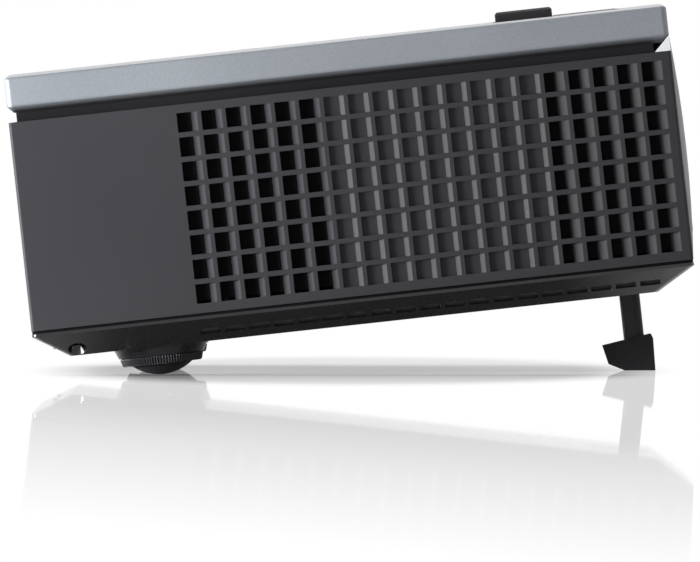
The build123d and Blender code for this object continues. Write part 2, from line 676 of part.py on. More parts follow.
# ================================================================ keypad
def nav_key(angle, grow=0.0):
    """The outline of one direction key, in the keypad's plane."""
    with BuildSketch(Plane.XY) as outline:
        with Locations(Location((KEYPAD_X, KEYPAD_Y, 0))):
            Circle(NAV_OUT + grow)
            Circle(NAV_IN - grow, mode=Mode.SUBTRACT)
            wide = NAV_ANGLE / 2 + grow * 180 / (pi * NAV_IN)
            reach = 3 * NAV_OUT
            edge_x = reach * cos(radians(wide))
            edge_y = reach * sin(radians(wide))
            Polygon(
                (0, 0),
                (edge_x, -edge_y),
                (edge_x, edge_y),
                rotation=angle,
                align=None,
                mode=Mode.INTERSECT,
            )
    return outline.sketch


def round_key(radius, place, grow=0.0):
    """The outline of one round key, in the keypad's plane."""
    with BuildSketch(Plane.XY) as outline:
        with Locations((KEYPAD_X + place[0], KEYPAD_Y + place[1])):
            Circle(radius + grow)
    return outline.sketch


KEYS = {
    "power_button": lambda grow: round_key(KEY_R, KEY_PLACES[0], grow),
    "source_button": lambda grow: round_key(KEY_R, KEY_PLACES[1], grow),
    "menu_button": lambda grow: round_key(KEY_R, KEY_PLACES[2], grow),
    "play_button": lambda grow: round_key(KEY_R, KEY_PLACES[3], grow),
    "enter_button": lambda grow: round_key(ENTER_R, (0, 0), grow),
    "right_button": lambda grow: nav_key(0, grow),
    "up_button": lambda grow: nav_key(90, grow),
    "left_button": lambda grow: nav_key(180, grow),
    "down_button": lambda grow: nav_key(270, grow),
}


def button(outline):
    """A key that stands through the plate, with a lip under the lid."""
    with BuildPart() as key:
        extrude(outline(0.0).moved(Location((0, 0, BUTTON_FOOT))), BUTTON_TOP - BUTTON_FOOT)
        fillet(key.faces().sort_by(Axis.Z)[-1].edges(), EDGE_R / 2)
        lip = outline(BUTTON_LIP).moved(Location((0, 0, BUTTON_FOOT)))
        extrude(lip, BUTTON_FLANGE)
    return key


with BuildPart() as keypad_plate:
    with BuildSketch(Plane.XY.offset(PLATE_Z)):
        with Locations((KEYPAD_X, KEYPAD_Y)):
            RectangleRounded(KEYPAD_W, KEYPAD_D, KEYPAD_R)
    extrude(amount=KEYPAD_T)
    for outline in KEYS.values():
        hole = outline(FIT).moved(Location((0, 0, PLATE_Z - CUT)))
        extrude(hole, KEYPAD_T + 2 * CUT, mode=Mode.SUBTRACT)
keypad_plate.part.label = "keypad_plate"

with top_cover:
    for outline in KEYS.values():
        hole = outline(FIT).moved(Location((0, 0, CEILING - CUT)))
        extrude(hole, LID_T + CUT, mode=Mode.SUBTRACT)
top_cover.part.label = "top_cover"

buttons = []
for key_name, outline in KEYS.items():
    key = button(outline)
    key.part.label = key_name
    buttons.append(key)

with BuildPart() as indicator_lights:
    for light in (-1, 0, 1):
        light_x = KEYPAD_X + light * LIGHT_PITCH
        light_z = (CEILING - CUT, CASE_H + CROWN)
        post(light_x, KEYPAD_Y + LIGHT_AHEAD, light_z, LIGHT_R)
indicator_lights.part.label = "indicator_lights"


# ================================================================ lens
def ring_body(front_y, length, radius, grips=0):
    """A ring on the barrel: an outer skin, a web and a hub, with finger grooves in the skin."""
    front = Plane(origin=(LENS_X, front_y, LENS_Z), x_dir=(1, 0, 0), z_dir=(0, 1, 0))
    hub_bore = BARREL_R + RUN_FIT
    with BuildPart() as ring:
        with BuildSketch(front):
            Circle(radius)
            Circle(radius - RIM_T, mode=Mode.SUBTRACT)
            if grips:
                with PolarLocations(radius, grips):
                    Circle(GRIP_R, mode=Mode.SUBTRACT)
            Circle(hub_bore + HUB_T)
            Circle(hub_bore, mode=Mode.SUBTRACT)
        extrude(amount=length)
        with BuildSketch(front.offset((length - WEB_T) / 2)):
            Circle(radius - RIM_T / 2)
            Circle(hub_bore, mode=Mode.SUBTRACT)
        extrude(amount=WEB_T)
    return ring


focus_ring = ring_body(FOCUS_Y, FOCUS_L, FOCUS_R, GRIP_COUNT)
focus_ring.part.label = "focus_ring"

zoom_ring = ring_body(ZOOM_Y, ZOOM_L, ZOOM_R)
with zoom_ring:
    tab_z = (LENS_Z + ZOOM_R - RIM_T / 2, CASE_H + TAB_RISE)
    with Locations([(LENS_X, ZOOM_Y + ZOOM_L / 2, sum(tab_z) / 2)]):
        tab = Box(TAB_W, ZOOM_L, tab_z[1] - tab_z[0], mode=Mode.PRIVATE)
    add(tab)
    chamfer(zoom_ring.faces().sort_by(Axis.Z)[-1].edges(), TAB_CHAMFER * 0.6)
zoom_ring.part.label = "zoom_ring"

with BuildPart() as lens_barrel:
    flange_r = BARREL_R + HUB_T
    bar_y(LENS_X, (FOCUS_Y - 3 * RING_GAP, BARREL_END), LENS_Z, BARREL_R)
    bar_y(LENS_X, (-END_Y, FOCUS_Y), LENS_Z, NOSE_R)
    bar_y(LENS_X, (ZOOM_Y + ZOOM_L + RING_GAP, BARREL_END), LENS_Z, flange_r)
    bar_y(LENS_X, (-END_Y - CUT, BARREL_END + CUT), LENS_Z, BARREL_BORE, Mode.SUBTRACT)
lens_barrel.part.label = "lens_barrel"

with BuildPart() as front_lens:
    lens_r = BARREL_BORE - RUN_FIT
    lens_y = -END_Y + 3 * GLASS_EDGE
    with BuildSketch(Plane.YZ.offset(LENS_X)):
        with BuildLine():
            edge_low = (lens_y, LENS_Z)
            Line(edge_low, (lens_y - GLASS_BULGE, LENS_Z))
            ThreePointArc(
                (lens_y - GLASS_BULGE, LENS_Z),
                (lens_y - GLASS_BULGE * 0.76, LENS_Z + lens_r / 2),
                (lens_y, LENS_Z + lens_r),
            )
            Line((lens_y, LENS_Z + lens_r), (lens_y + GLASS_EDGE, LENS_Z + lens_r))
            Line((lens_y + GLASS_EDGE, LENS_Z + lens_r), (lens_y + GLASS_EDGE, LENS_Z))
            Line((lens_y + GLASS_EDGE, LENS_Z), edge_low)
        make_face()
    revolve(axis=Axis((LENS_X, 0, LENS_Z), (0, 1, 0)))
front_lens.part.label = "front_lens"


# ================================================================ feet
def foot_wheel(place):
    """The knurled wheel of a rear foot with its stud, bored for the pad's pin."""
    with BuildPart() as wheel:
        with BuildSketch(Plane.XY.offset(WHEEL_TOP - WHEEL_H)):
            with Locations(place):
                Circle(WHEEL_R)
                with PolarLocations(WHEEL_R, KNURLS):
                    Circle(KNURL_R, mode=Mode.SUBTRACT)
        extrude(amount=WHEEL_H)
        post(*place, (WHEEL_TOP - WHEEL_H, STUD_UP), STUD_R)
        bore = (WHEEL_TOP - WHEEL_H - CUT, PAD_TOP + PAD_PIN_L + CUT)
        post(*place, bore, PAD_PIN_R + RUN_FIT, Mode.SUBTRACT)
    return wheel


def foot_pad(place):
    """The domed pad of a rear foot, with the pin that the wheel turns on."""
    with BuildPart() as pad:
        with Locations((*place, DOME_Z)):
            Sphere(DOME_R)
        wide = [about(middle, 2 * WHEEL_R) for middle in place]
        block(*wide, (-DOME_R * 2, PAD_TOP), Mode.INTERSECT)
        post(*place, (PAD_TOP - CUT, PAD_TOP + PAD_PIN_L), PAD_PIN_R)
    return pad


right_foot_wheel = foot_wheel(FOOT_PLACES[0])
right_foot_wheel.part.label = "right_foot_wheel"
right_foot_pad = foot_pad(FOOT_PLACES[0])
right_foot_pad.part.label = "right_foot_pad"
left_foot_wheel = foot_wheel(FOOT_PLACES[1])
left_foot_wheel.part.label = "left_foot_wheel"
left_foot_pad = foot_pad(FOOT_PLACES[1])
left_foot_pad.part.label = "left_foot_pad"

boot_floor = SOLE_Z + BOOT_FLOOR
with BuildPart() as elevator_post:
    block(about(0, POST_W), about(POST_Y, POST_D), (boot_floor, POST_TOP))
    fillet(elevator_post.edges().filter_by(Axis.Z), POST_D / 8)
    for side in (-1, 1):
        groove_x = about(side * POST_W / 2, 2 * GROOVE_D)
        groove_y = about(POST_Y - POST_D / 6, GROOVE_W)
        block(groove_x, groove_y, (boot_floor - CUT, POST_TOP + CUT), Mode.SUBTRACT)
elevator_post.part.label = "elevator_post"

with BuildPart() as elevator_pad:
    # The boot's outline is drawn on the floor's own level, so that its sole lies flat.
    sole = Plane(
        origin=(0, POST_Y, SOLE_Z), x_dir=(0, -TILT_COS, -TILT_SIN), z_dir=(-1, 0, 0)
    )
    with BuildSketch(sole):
        Polygon(*BOOT_SOLE, *BOOT_FRONT, *BOOT_BACK, align=None)
    extrude(amount=BOOT_W / 2, both=True)
    fillet(elevator_pad.edges().filter_by(Axis.X).group_by(Axis.Z)[-1], EDGE_R / 4)
    pocket_y = (POST_Y - POST_D / 2 - FIT, POST_Y + BOOT_REAR)
    pocket_x = about(0, BOOT_W - 2 * BOOT_WALL)
    block(pocket_x, pocket_y, (boot_floor, BOOT_TOP + CUT), Mode.SUBTRACT)
elevator_pad.part.label = "elevator_pad"

with BuildPart() as elevator_guide:
    guide_y = (POST_Y - POST_D / 2 - GUIDE_T, POST_Y + POST_D / 2 + GUIDE_T)
    block(about(0, POST_W + 2 * GUIDE_T), guide_y, (FLOOR_T, GUIDE_TOP))
    flange_y = (guide_y[0], boot_y[1] + 2 * CUT)
    flange_x = about(0, BOOT_W + 8 * BOOT_POCKET)
    block(flange_x, flange_y, (FLOOR_T, FLOOR_T + GUIDE_FLANGE))
    channel_x = about(0, POST_W + 2 * FIT)
    channel_y = about(POST_Y, POST_D + 2 * FIT)
    block(channel_x, channel_y, (0, GUIDE_TOP - GUIDE_ROOF), Mode.SUBTRACT)
    pawl_x = about(0, RELEASE_W / 2 + 4 * FIT)
    pawl_z = about(RELEASE_Z, RELEASE_STEM + 4 * FIT)
    block(pawl_x, (guide_y[0] - CUT, POST_Y), pawl_z, Mode.SUBTRACT)
elevator_guide.part.label = "elevator_guide"

with BuildPart() as elevator_button:
    release_y = (-END_Y - BEZEL_BULGE - RELEASE_OUT, -INNER_Y + FIT)
    block(about(0, RELEASE_W), release_y, about(RELEASE_Z, RELEASE_H))
    fillet(elevator_button.faces().sort_by(Axis.Y)[0].edges(), EDGE_R)
    stem_end = POST_Y - POST_D / 2 - PAWL_GAP - RELEASE_TRAVEL
    block(about(0, RELEASE_W / 2), (-INNER_Y, stem_end), about(RELEASE_Z, RELEASE_STEM))
elevator_button.part.label = "elevator_button"


# ================================================================ light engine
engine_x = about(LENS_X, ENGINE_L)
engine_y = (BARREL_END, BARREL_END + ENGINE_D)
engine_z = (ENGINE_LOW, CASE_H - ENGINE_TOP)
with BuildPart() as optical_engine_housing:
    block(engine_x, engine_y, engine_z)
    fillet(optical_engine_housing.edges().filter_by(Axis.Z), CORNER_R)
    hollow_x = (engine_x[0] + ENGINE_WALL, engine_x[1] - ENGINE_WALL)
    hollow_y = (engine_y[0] + ENGINE_WALL, engine_y[1] - ENGINE_WALL)
    hollow_z = (engine_z[0] + ENGINE_WALL, engine_z[1] - ENGINE_WALL)
    block(hollow_x, hollow_y, hollow_z, Mode.SUBTRACT)
    bar_y(LENS_X, (engine_y[0] - CUT, engine_y[0] + 5), LENS_Z, BARREL_BORE, Mode.SUBTRACT)
    chip_x = about(LENS_X, CHIP_W + 2 * CUT)
    chip_z = about(LENS_Z, CHIP_H + 2 * CUT)
    block(chip_x, (hollow_y[1] - CUT, engine_y[1] + CUT), chip_z, Mode.SUBTRACT)
    gate_y = about(LAMP_Y, TUNNEL_W + 2 * FIT)
    gate_z = about(LAMP_Z, TUNNEL_H + 2 * FIT)
    block((hollow_x[1] - CUT, engine_x[1] + CUT), gate_y, gate_z, Mode.SUBTRACT)
    for leg_x in (engine_x[0] + LEG_R, engine_x[1] - LEG_R):
        for leg_y in (engine_y[0] + LEG_R, engine_y[1] - LEG_R):
            post(leg_x, leg_y, (FLOOR_T, ENGINE_LOW), LEG_R)
optical_engine_housing.part.label = "optical_engine_housing"

with BuildPart() as light_tunnel:
    tunnel_x = (engine_x[1] - TUNNEL_IN, engine_x[1] - TUNNEL_IN + TUNNEL_L)
    block(tunnel_x, about(LAMP_Y, TUNNEL_W), about(LAMP_Z, TUNNEL_H))
    bore_y = about(LAMP_Y, TUNNEL_W - 2 * TUNNEL_WALL)
    bore_z = about(LAMP_Z, TUNNEL_H - 2 * TUNNEL_WALL)
    block((tunnel_x[0] - CUT, tunnel_x[1] + CUT), bore_y, bore_z, Mode.SUBTRACT)
light_tunnel.part.label = "light_tunnel"

wheel_z = LAMP_Z + WHEEL_OFFSET
wheel_x = (tunnel_x[1] + 2 * CUT, tunnel_x[1] + 2 * CUT + WHEEL_DISC_T)
motor_x = (wheel_x[0] - CUT - MOTOR_L, wheel_x[0] - CUT)
with BuildPart() as color_wheel:
    bar_x(wheel_x, LAMP_Y, wheel_z, WHEEL_DISC_R)
    bar_x((wheel_x[0] - CUT / 2, wheel_x[1] + CUT), LAMP_Y, wheel_z, HUB_R)
    bar_x((wheel_x[0] - SHAFT_L, wheel_x[0]), LAMP_Y, wheel_z, SHAFT_R)
color_wheel.part.label = "color_wheel"

with BuildPart() as color_wheel_motor:
    bar_x(motor_x, LAMP_Y, wheel_z, MOTOR_R)
    block((engine_x[1], motor_x[0] + CUT), about(LAMP_Y, MOTOR_R), about(wheel_z, HUB_R))
    bore_x = (wheel_x[0] - SHAFT_L - CUT, wheel_x[0])
    bar_x(bore_x, LAMP_Y, wheel_z, SHAFT_R + RUN_FIT, Mode.SUBTRACT)
color_wheel_motor.part.label = "color_wheel_motor"

with BuildPart() as imager_board:
    board_y = (engine_y[1], engine_y[1] + BOARD_T)
    block(about(LENS_X, IMAGER_W), board_y, about(LENS_Z, IMAGER_H))
    chip_y = (engine_y[1] - CHIP_D, engine_y[1])
    block(about(LENS_X, CHIP_W), chip_y, about(LENS_Z, CHIP_H))
imager_board.part.label = "imager_board"

with BuildPart() as imager_heatsink:
    sink_y = (board_y[1], board_y[1] + SINK_D)
    block(about(LENS_X, SINK_W), (sink_y[0], sink_y[0] + SINK_BASE), about(LENS_Z, SINK_W))
    fin_pitch = (SINK_W - FIN_T) / (FIN_COUNT - 1)
    for fin in range(FIN_COUNT):
        fin_x = LENS_X - SINK_W / 2 + FIN_T / 2 + fin * fin_pitch
        block(about(fin_x, FIN_T), sink_y, about(LENS_Z, SINK_W))
imager_heatsink.part.label = "imager_heatsink"

# ================================================================ lamp
lamp_x = about(LAMP_X, LAMP_L)
lamp_y = about(LAMP_Y, LAMP_W)
mouth_x = lamp_x[0] + REFLECTOR_INSET
with BuildPart() as lamp_housing:
    block(lamp_x, lamp_y, (DOOR_T, DOOR_T + LAMP_H))
    fillet(lamp_housing.edges().filter_by(Axis.X), CORNER_R)
    inner_lamp_x = (lamp_x[0] + LAMP_WALL, lamp_x[1] - LAMP_WALL)
    inner_lamp_y = (lamp_y[0] + LAMP_WALL, lamp_y[1] - LAMP_WALL)
    inner_lamp_z = (DOOR_T + LAMP_WALL, DOOR_T + LAMP_H - LAMP_WALL)
    block(inner_lamp_x, inner_lamp_y, inner_lamp_z, Mode.SUBTRACT)
    bar_x((lamp_x[0] - CUT, lamp_x[0] + 2 * CUT), LAMP_Y, LAMP_Z, 0.8 * REFLECTOR_R, Mode.SUBTRACT)
    # A collar that holds the reflector's neck.
    neck_x0 = mouth_x + REFLECTOR_L
    neck_span = (neck_x0 + CUT, lamp_x[1] - LAMP_WALL)
    bar_x(neck_span, LAMP_Y, LAMP_Z, REFLECTOR_NECK_R + 2 * LAMP_WALL)
    neck_bore = REFLECTOR_NECK_R + FIT
    bar_x((neck_x0, lamp_x[1] - 2 * LAMP_WALL), LAMP_Y, LAMP_Z, neck_bore, Mode.SUBTRACT)
    vent_x = about(LAMP_X, LAMP_L / 3)
    vent_z = about(LAMP_Z, LAMP_H / 3)
    block(vent_x, (lamp_y[0] - CUT, lamp_y[1] + CUT), vent_z, Mode.SUBTRACT)
lamp_housing.part.label = "lamp_housing"

with BuildPart() as lamp_reflector:
    bowl = Plane(origin=(mouth_x, LAMP_Y, LAMP_Z), x_dir=(0, 1, 0), z_dir=(0, 0, -1))
    throat = (REFLECTOR_NECK_R, REFLECTOR_L)
    inner_throat = (REFLECTOR_NECK_R - REFLECTOR_T, REFLECTOR_L)
    with BuildSketch(bowl):
        with BuildLine():
            bulge = (0.78 * REFLECTOR_R, 0.62 * REFLECTOR_L)
            ThreePointArc((REFLECTOR_R, 0), bulge, throat)
            neck_end = REFLECTOR_L + REFLECTOR_NECK_L
            Polyline(throat, (throat[0], neck_end), (inner_throat[0], neck_end), inner_throat)
            inner_bulge = (bulge[0] - REFLECTOR_T, bulge[1] - REFLECTOR_T / 2)
            ThreePointArc(inner_throat, inner_bulge, (REFLECTOR_R - REFLECTOR_T, 0))
            Line((REFLECTOR_R - REFLECTOR_T, 0), (REFLECTOR_R, 0))
        make_face()
    revolve(axis=Axis((mouth_x, LAMP_Y, LAMP_Z), (1, 0, 0)))
lamp_reflector.part.label = "lamp_reflector"

with BuildPart() as lamp_burner:
    # A glass tube with a round bulb at the focus and a ceramic base in the neck.
    bulb_y = 4 * BULB_R
    base_r = inner_throat[0] - FIT
    with BuildSketch(bowl):
        with Locations((0, bulb_y)):
            Circle(BULB_R)
        with Locations((0, (2 * BULB_R + neck_end) / 2)):
            Rectangle(2 * TUBE_R, neck_end - 2 * BULB_R)
        with Locations((0, neck_end - BURNER_BASE_L / 2)):
            Rectangle(2 * base_r, BURNER_BASE_L)
        with Locations((-neck_end / 2, neck_end / 2)):
            Rectangle(neck_end, 3 * neck_end, mode=Mode.SUBTRACT)
    revolve(axis=Axis((mouth_x, LAMP_Y, LAMP_Z), (1, 0, 0)))
lamp_burner.part.label = "lamp_burner"

with BuildPart() as lamp_door:
    door_fit_x = (door_x[0] + FIT, door_x[1] - FIT)
    door_fit_y = (door_y[0] + FIT, door_y[1] - FIT)
    block(door_fit_x, door_fit_y, (0, DOOR_T))
    fillet(lamp_door.edges().filter_by(Axis.Z), EDGE_R)
    for screw_x, screw_y in DOOR_SCREWS:
        post(screw_x, screw_y, (-CUT, DOOR_HEAD), SCREW_WELL_R, Mode.SUBTRACT)
        post(screw_x, screw_y, (0, DOOR_T + CUT), SCREW_SHANK_R + FIT, Mode.SUBTRACT)
lamp_door.part.label = "lamp_door"

# ================================================================ cooling and sound
fan_y = GRILLE_Y + CELL_PITCH * (DEEP_COLS + BLIND_COLS) + (CELL_PITCH * OPEN_COLS) / 2
fan_z = (PANEL_Z0 + PANEL_Z1) / 2
fan_x = (-INNER_X, -INNER_X + FAN_D)
with BuildPart() as exhaust_fan_frame:
    block(fan_x, about(fan_y, FAN_W), about(fan_z, FAN_W))
    fillet(exhaust_fan_frame.edges().filter_by(Axis.X), 2 * CORNER_R)
    bar_x((fan_x[0] - CUT, fan_x[1] + CUT), fan_y, fan_z, FAN_BORE, Mode.SUBTRACT)
    strut_x = (fan_x[1] - FAN_STRUT, fan_x[1])
    block(strut_x, about(fan_y, 2 * FAN_BORE + CUT), about(fan_z, FAN_STRUT))
    block(strut_x, about(fan_y, FAN_STRUT), about(fan_z, 2 * FAN_BORE + CUT))
    bar_x(strut_x, fan_y, fan_z, FAN_HUB_R)
    shaft_x = (fan_x[1] - FAN_STRUT - CUT, fan_x[1] + CUT)
    bar_x(shaft_x, fan_y, fan_z, SHAFT_R + RUN_FIT, Mode.SUBTRACT)
exhaust_fan_frame.part.label = "exhaust_fan_frame"

with BuildPart() as exhaust_fan_rotor:
    rotor_x = (strut_x[0] - FIT - FAN_ROTOR_L, strut_x[0] - FIT)
    bar_x(rotor_x, fan_y, fan_z, FAN_HUB_R)
    bar_x((rotor_x[1] - CUT, fan_x[1] - FIT), fan_y, fan_z, SHAFT_R)
    blade_plane = Plane(origin=(sum(rotor_x) / 2, fan_y, fan_z), x_dir=(0, 1, 0), z_dir=(1, 0, 0))
    blade_l = FAN_TIP - FAN_HUB_R
    with Locations(blade_plane):
        with PolarLocations(FAN_HUB_R + blade_l / 2 - CUT, FAN_BLADES):
            Box(blade_l, FAN_ROTOR_L, FIN_T, rotation=(35, 0, 0))
exhaust_fan_rotor.part.label = "exhaust_fan_rotor"

speaker_y = GRILLE_Y + (CELL_PITCH * DEEP_COLS - CELL_PITCH + CELL_W) / 2
with BuildPart() as speakers:
    for side in (-1, 1):
        span = sorted((side * INNER_X, side * (INNER_X - SPEAKER_T)))
        block(span, about(speaker_y, SPEAKER_W), about(fan_z, SPEAKER_H))
        basket_l = SPEAKER_D - MAGNET_L
        with Locations((side * (INNER_X - basket_l / 2), speaker_y, fan_z)):
            Cone(
                SPEAKER_W / 2 - 2,
                MAGNET_R - 2,
                basket_l,
                rotation=(0, -90 * side, 0),
            )
        magnet = sorted((side * (INNER_X - basket_l + CUT), side * (INNER_X - SPEAKER_D)))
        bar_x(magnet, speaker_y, fan_z, MAGNET_R)
speakers.part.label = "speakers"

# ================================================================ boards and connectors
with BuildPart() as main_board:
    board_y_span = (BOARD_FRONT, INNER_Y - FIT)
    block(BOARD_X, board_y_span, (BOARD_Z, BOARD_Z + BOARD_T))
    for chip_at in (0.3, 0.55, 0.8):
        chip_mid = BOARD_X[0] + chip_at * (BOARD_X[1] - BOARD_X[0])
        chip_top = BOARD_Z + BOARD_T + CHIP_D
        block(about(chip_mid, CHIP_W), about(BOARD_FRONT + CHIP_W, CHIP_H), (BOARD_Z, chip_top))
main_board.part.label = "main_board"

with BuildPart() as rear_connectors:
    port_y = (END_Y - PORT_DEPTH, END_Y + PORT_OUT)
    board_top = BOARD_Z + BOARD_T
    for port_x, width, height in RECT_PORTS:
        block(about(port_x, width), port_y, about(port_z, height))
        foot_z = (board_top, port_z)
        block(about(port_x, width), (port_y[0], INNER_Y - FIT), foot_z)
        socket_x = about(port_x, width - 3 * CUT)
        socket_z = about(port_z, height - 2 * CUT)
        block(socket_x, (END_Y - 6 * CUT, port_y[1] + CUT), socket_z, Mode.SUBTRACT)
        block(socket_x, (END_Y - 6 * CUT, END_Y), about(port_z, CUT))
    for port_x, radius in ROUND_PORTS:
        bar_y(port_x, port_y, port_z, radius)
        block(about(port_x, radius), (port_y[0], INNER_Y - FIT), (board_top, port_z))
        bar_y(port_x, (END_Y - 6 * CUT, END_Y + CUT), port_z, radius / 2, Mode.SUBTRACT)
rear_connectors.part.label = "rear_connectors"

with BuildPart() as power_inlet:
    block(about(INLET_X, INLET_W), (END_Y - INLET_L, END_Y), about(INLET_Z, INLET_H))
    rim_x = about(INLET_X, INLET_W + 2 * INLET_LIP)
    rim_z = about(INLET_Z, INLET_H + 2 * INLET_LIP)
    block(rim_x, (END_Y, END_Y + INLET_LIP_T), rim_z)
    fillet(power_inlet.edges().filter_by(Axis.Y).group_by(Axis.Y)[-1], EDGE_R)
    well_x = about(INLET_X, INLET_W - 2 * INLET_WALL)
    well_z = about(INLET_Z, INLET_H - 2 * INLET_WALL)
    well_y = (END_Y - INLET_L + 2 * INLET_WALL, END_Y + INLET_LIP_T + CUT)
    block(well_x, well_y, well_z, Mode.SUBTRACT)
    for prong_x, prong_z in ((-7.0, -2.0), (0.0, 2.5), (7.0, -2.0)):
        prong_y = (well_y[0] - CUT, well_y[0] + PRONG_L)
        block(about(INLET_X + prong_x, 2), prong_y, about(INLET_Z + prong_z, 4))
power_inlet.part.label = "power_inlet"

with BuildPart() as power_supply:
    block(SUPPLY_X, SUPPLY_Y, (SUPPLY_Z, SUPPLY_Z + BOARD_T))
    for leg_x in (SUPPLY_X[0] + LEG_R, SUPPLY_X[1] - LEG_R):
        for leg_y in (SUPPLY_Y[0] + LEG_R, SUPPLY_Y[1] - LEG_R):
            post(leg_x, leg_y, (FLOOR_T, SUPPLY_Z), STANDOFF_R)
    supply_mid = sum(SUPPLY_X) / 2
    supply_top = SUPPLY_Z + BOARD_T
    for can_y in (SUPPLY_Y[0] + 12, SUPPLY_Y[0] + 33):
        post(SUPPLY_X[0] + 12, can_y, (supply_top, supply_top + 30), 9)
    block(about(supply_mid + 8, 26), about(SUPPLY_Y[0] + 20, 22), (supply_top, supply_top + 24))
    for fin in range(4):
        fin_y = SUPPLY_Y[1] - 6 - 5 * fin
        block(about(supply_mid, 40), about(fin_y, FIN_T), (supply_top, supply_top + 22))
power_supply.part.label = "power_supply"

with BuildPart() as lamp_ballast:
    block(SUPPLY_X, BALLAST_Y, (FLOOR_T, FLOOR_T + BALLAST_H))
    fillet(lamp_ballast.edges().filter_by(Axis.Z), CORNER_R)
    slot_z = about(FLOOR_T + BALLAST_H / 2, BALLAST_H / 2)
    for slot in range(6):
        slot_x = SUPPLY_X[0] + 8 + slot * 8
        block(about(slot_x, 3), (BALLAST_Y[0] - CUT, BALLAST_Y[0] + 2), slot_z, Mode.SUBTRACT)
lamp_ballast.part.label = "lamp_ballast"

# ================================================================ disc drive
drive_x = (DRIVE_X0, DRIVE_X0 + DRIVE_L)
drive_y = about(DRIVE_Y, DRIVE_W)
with BuildPart() as drive_case:
    block(drive_x, drive_y, (DRIVE_Z, DRIVE_Z + DRIVE_H - SHEET_T))
    pan_x = (drive_x[0] + SHEET_T, drive_x[1] + CUT)
    pan_y = (drive_y[0] + SHEET_T, drive_y[1] - SHEET_T)
    block(pan_x, pan_y, (DRIVE_Z + SHEET_T, DRIVE_Z + DRIVE_H), Mode.SUBTRACT)
    for side in (-1, 1):
        runner_y = about(DRIVE_Y + side * (TRAY_W / 2 - RUNNER_W), RUNNER_W)
        block(drive_x, runner_y, (DRIVE_Z, TRAY_Z - FIT))
drive_case.part.label = "drive_case"

with BuildPart() as drive_top_plate:
    block(drive_x, drive_y, (DRIVE_Z + DRIVE_H - SHEET_T, DRIVE_Z + DRIVE_H))
    fillet(drive_top_plate.edges().filter_by(Axis.Z), CORNER_R)
drive_top_plate.part.label = "drive_top_plate"

tray_x = (TRAY_X1 - TRAY_L, TRAY_X1)
well_x = (SPINDLE_X + 4 * CUT + TURNTABLE_R - WELL_L, SPINDLE_X + 4 * CUT + TURNTABLE_R)
well_y = about(DRIVE_Y, WELL_W)
with BuildPart() as disc_tray:
    block(tray_x, about(DRIVE_Y, TRAY_W), (TRAY_Z, TRAY_Z + TRAY_T))
    recess_z = (TRAY_Z + TRAY_T - RECESS_D, TRAY_Z + TRAY_T + CUT)
    post(SPINDLE_X, DRIVE_Y, recess_z, DISC_R, Mode.SUBTRACT)
    block(well_x, well_y, (TRAY_Z - CUT, WELL_TOP), Mode.SUBTRACT)
    hole_z = (TRAY_Z, TRAY_Z + TRAY_T + CUT)
    post(SPINDLE_X, DRIVE_Y, hole_z, TURNTABLE_R + CUT, Mode.SUBTRACT)
    slot_x = (SLED_X - SLED_TRAVEL - SLED_L / 2 - CUT, SPINDLE_X)
    block(slot_x, about(DRIVE_Y, SLED_L + 4 * CUT), hole_z, Mode.SUBTRACT)
    # Blocks that carry the spindle's motor, under the turntable.
    for side in (-1, 1):
        arm_y = sorted((DRIVE_Y + side * SPINDLE_MOTOR_R, DRIVE_Y + side * WELL_W / 2))
        block(about(SPINDLE_X, 6), arm_y, (TRAY_Z + FIT, TRAY_Z + WELL_D / 2 - ROD_R - FIT))
disc_tray.part.label = "disc_tray"

rod_z = TRAY_Z + WELL_D / 2
with BuildPart() as guide_rods:
    for side in (-1, 1):
        bar_x(well_x, DRIVE_Y + side * ROD_SPREAD, rod_z, ROD_R)
guide_rods.part.label = "guide_rods"

screw_x_span = (well_x[0] + RUN_FIT, SLED_X + SLED_L)
with BuildPart() as lead_screw:
    bar_x(screw_x_span, DRIVE_Y + SCREW_SIDE, rod_z, SCREW_R)
lead_screw.part.label = "lead_screw"

with BuildPart() as pickup_sled:
    block(about(SLED_X, SLED_L), about(DRIVE_Y, WELL_W - 2 * CUT), about(rod_z, SLED_T))
    for side in (-1, 1):
        span = about(SLED_X, SLED_L + 2 * CUT)
        bar_x(span, DRIVE_Y + side * ROD_SPREAD, rod_z, ROD_R + RUN_FIT, Mode.SUBTRACT)
    bar_x(span, DRIVE_Y + SCREW_SIDE, rod_z, SCREW_R + RUN_FIT, Mode.SUBTRACT)
    post(SLED_X, DRIVE_Y, (rod_z, WELL_TOP), SCREW_R * 2)
pickup_sled.part.label = "pickup_sled"

motor_z = (TRAY_Z + FIT, TRAY_Z + FIT + SPINDLE_MOTOR_L)
with BuildPart() as spindle_motor:
    post(SPINDLE_X, DRIVE_Y, motor_z, SPINDLE_MOTOR_R)
    bore_z = (motor_z[0] + CUT, motor_z[1] + CUT)
    post(SPINDLE_X, DRIVE_Y, bore_z, SPINDLE_R + RUN_FIT, Mode.SUBTRACT)
spindle_motor.part.label = "spindle_motor"

with BuildPart() as turntable:
    deck_z = (motor_z[1] + FIT, motor_z[1] + FIT + TURNTABLE_T)
    post(SPINDLE_X, DRIVE_Y, deck_z, TURNTABLE_R)
    post(SPINDLE_X, DRIVE_Y, (deck_z[0], TRAY_Z + TRAY_T - FIT), DISC_HUB_R)
    fillet(turntable.faces().sort_by(Axis.Z)[-1].edges(), EDGE_R)
    post(SPINDLE_X, DRIVE_Y, (motor_z[0] + CUT + FIT, deck_z[0]), SPINDLE_R)
turntable.part.label = "turntable"

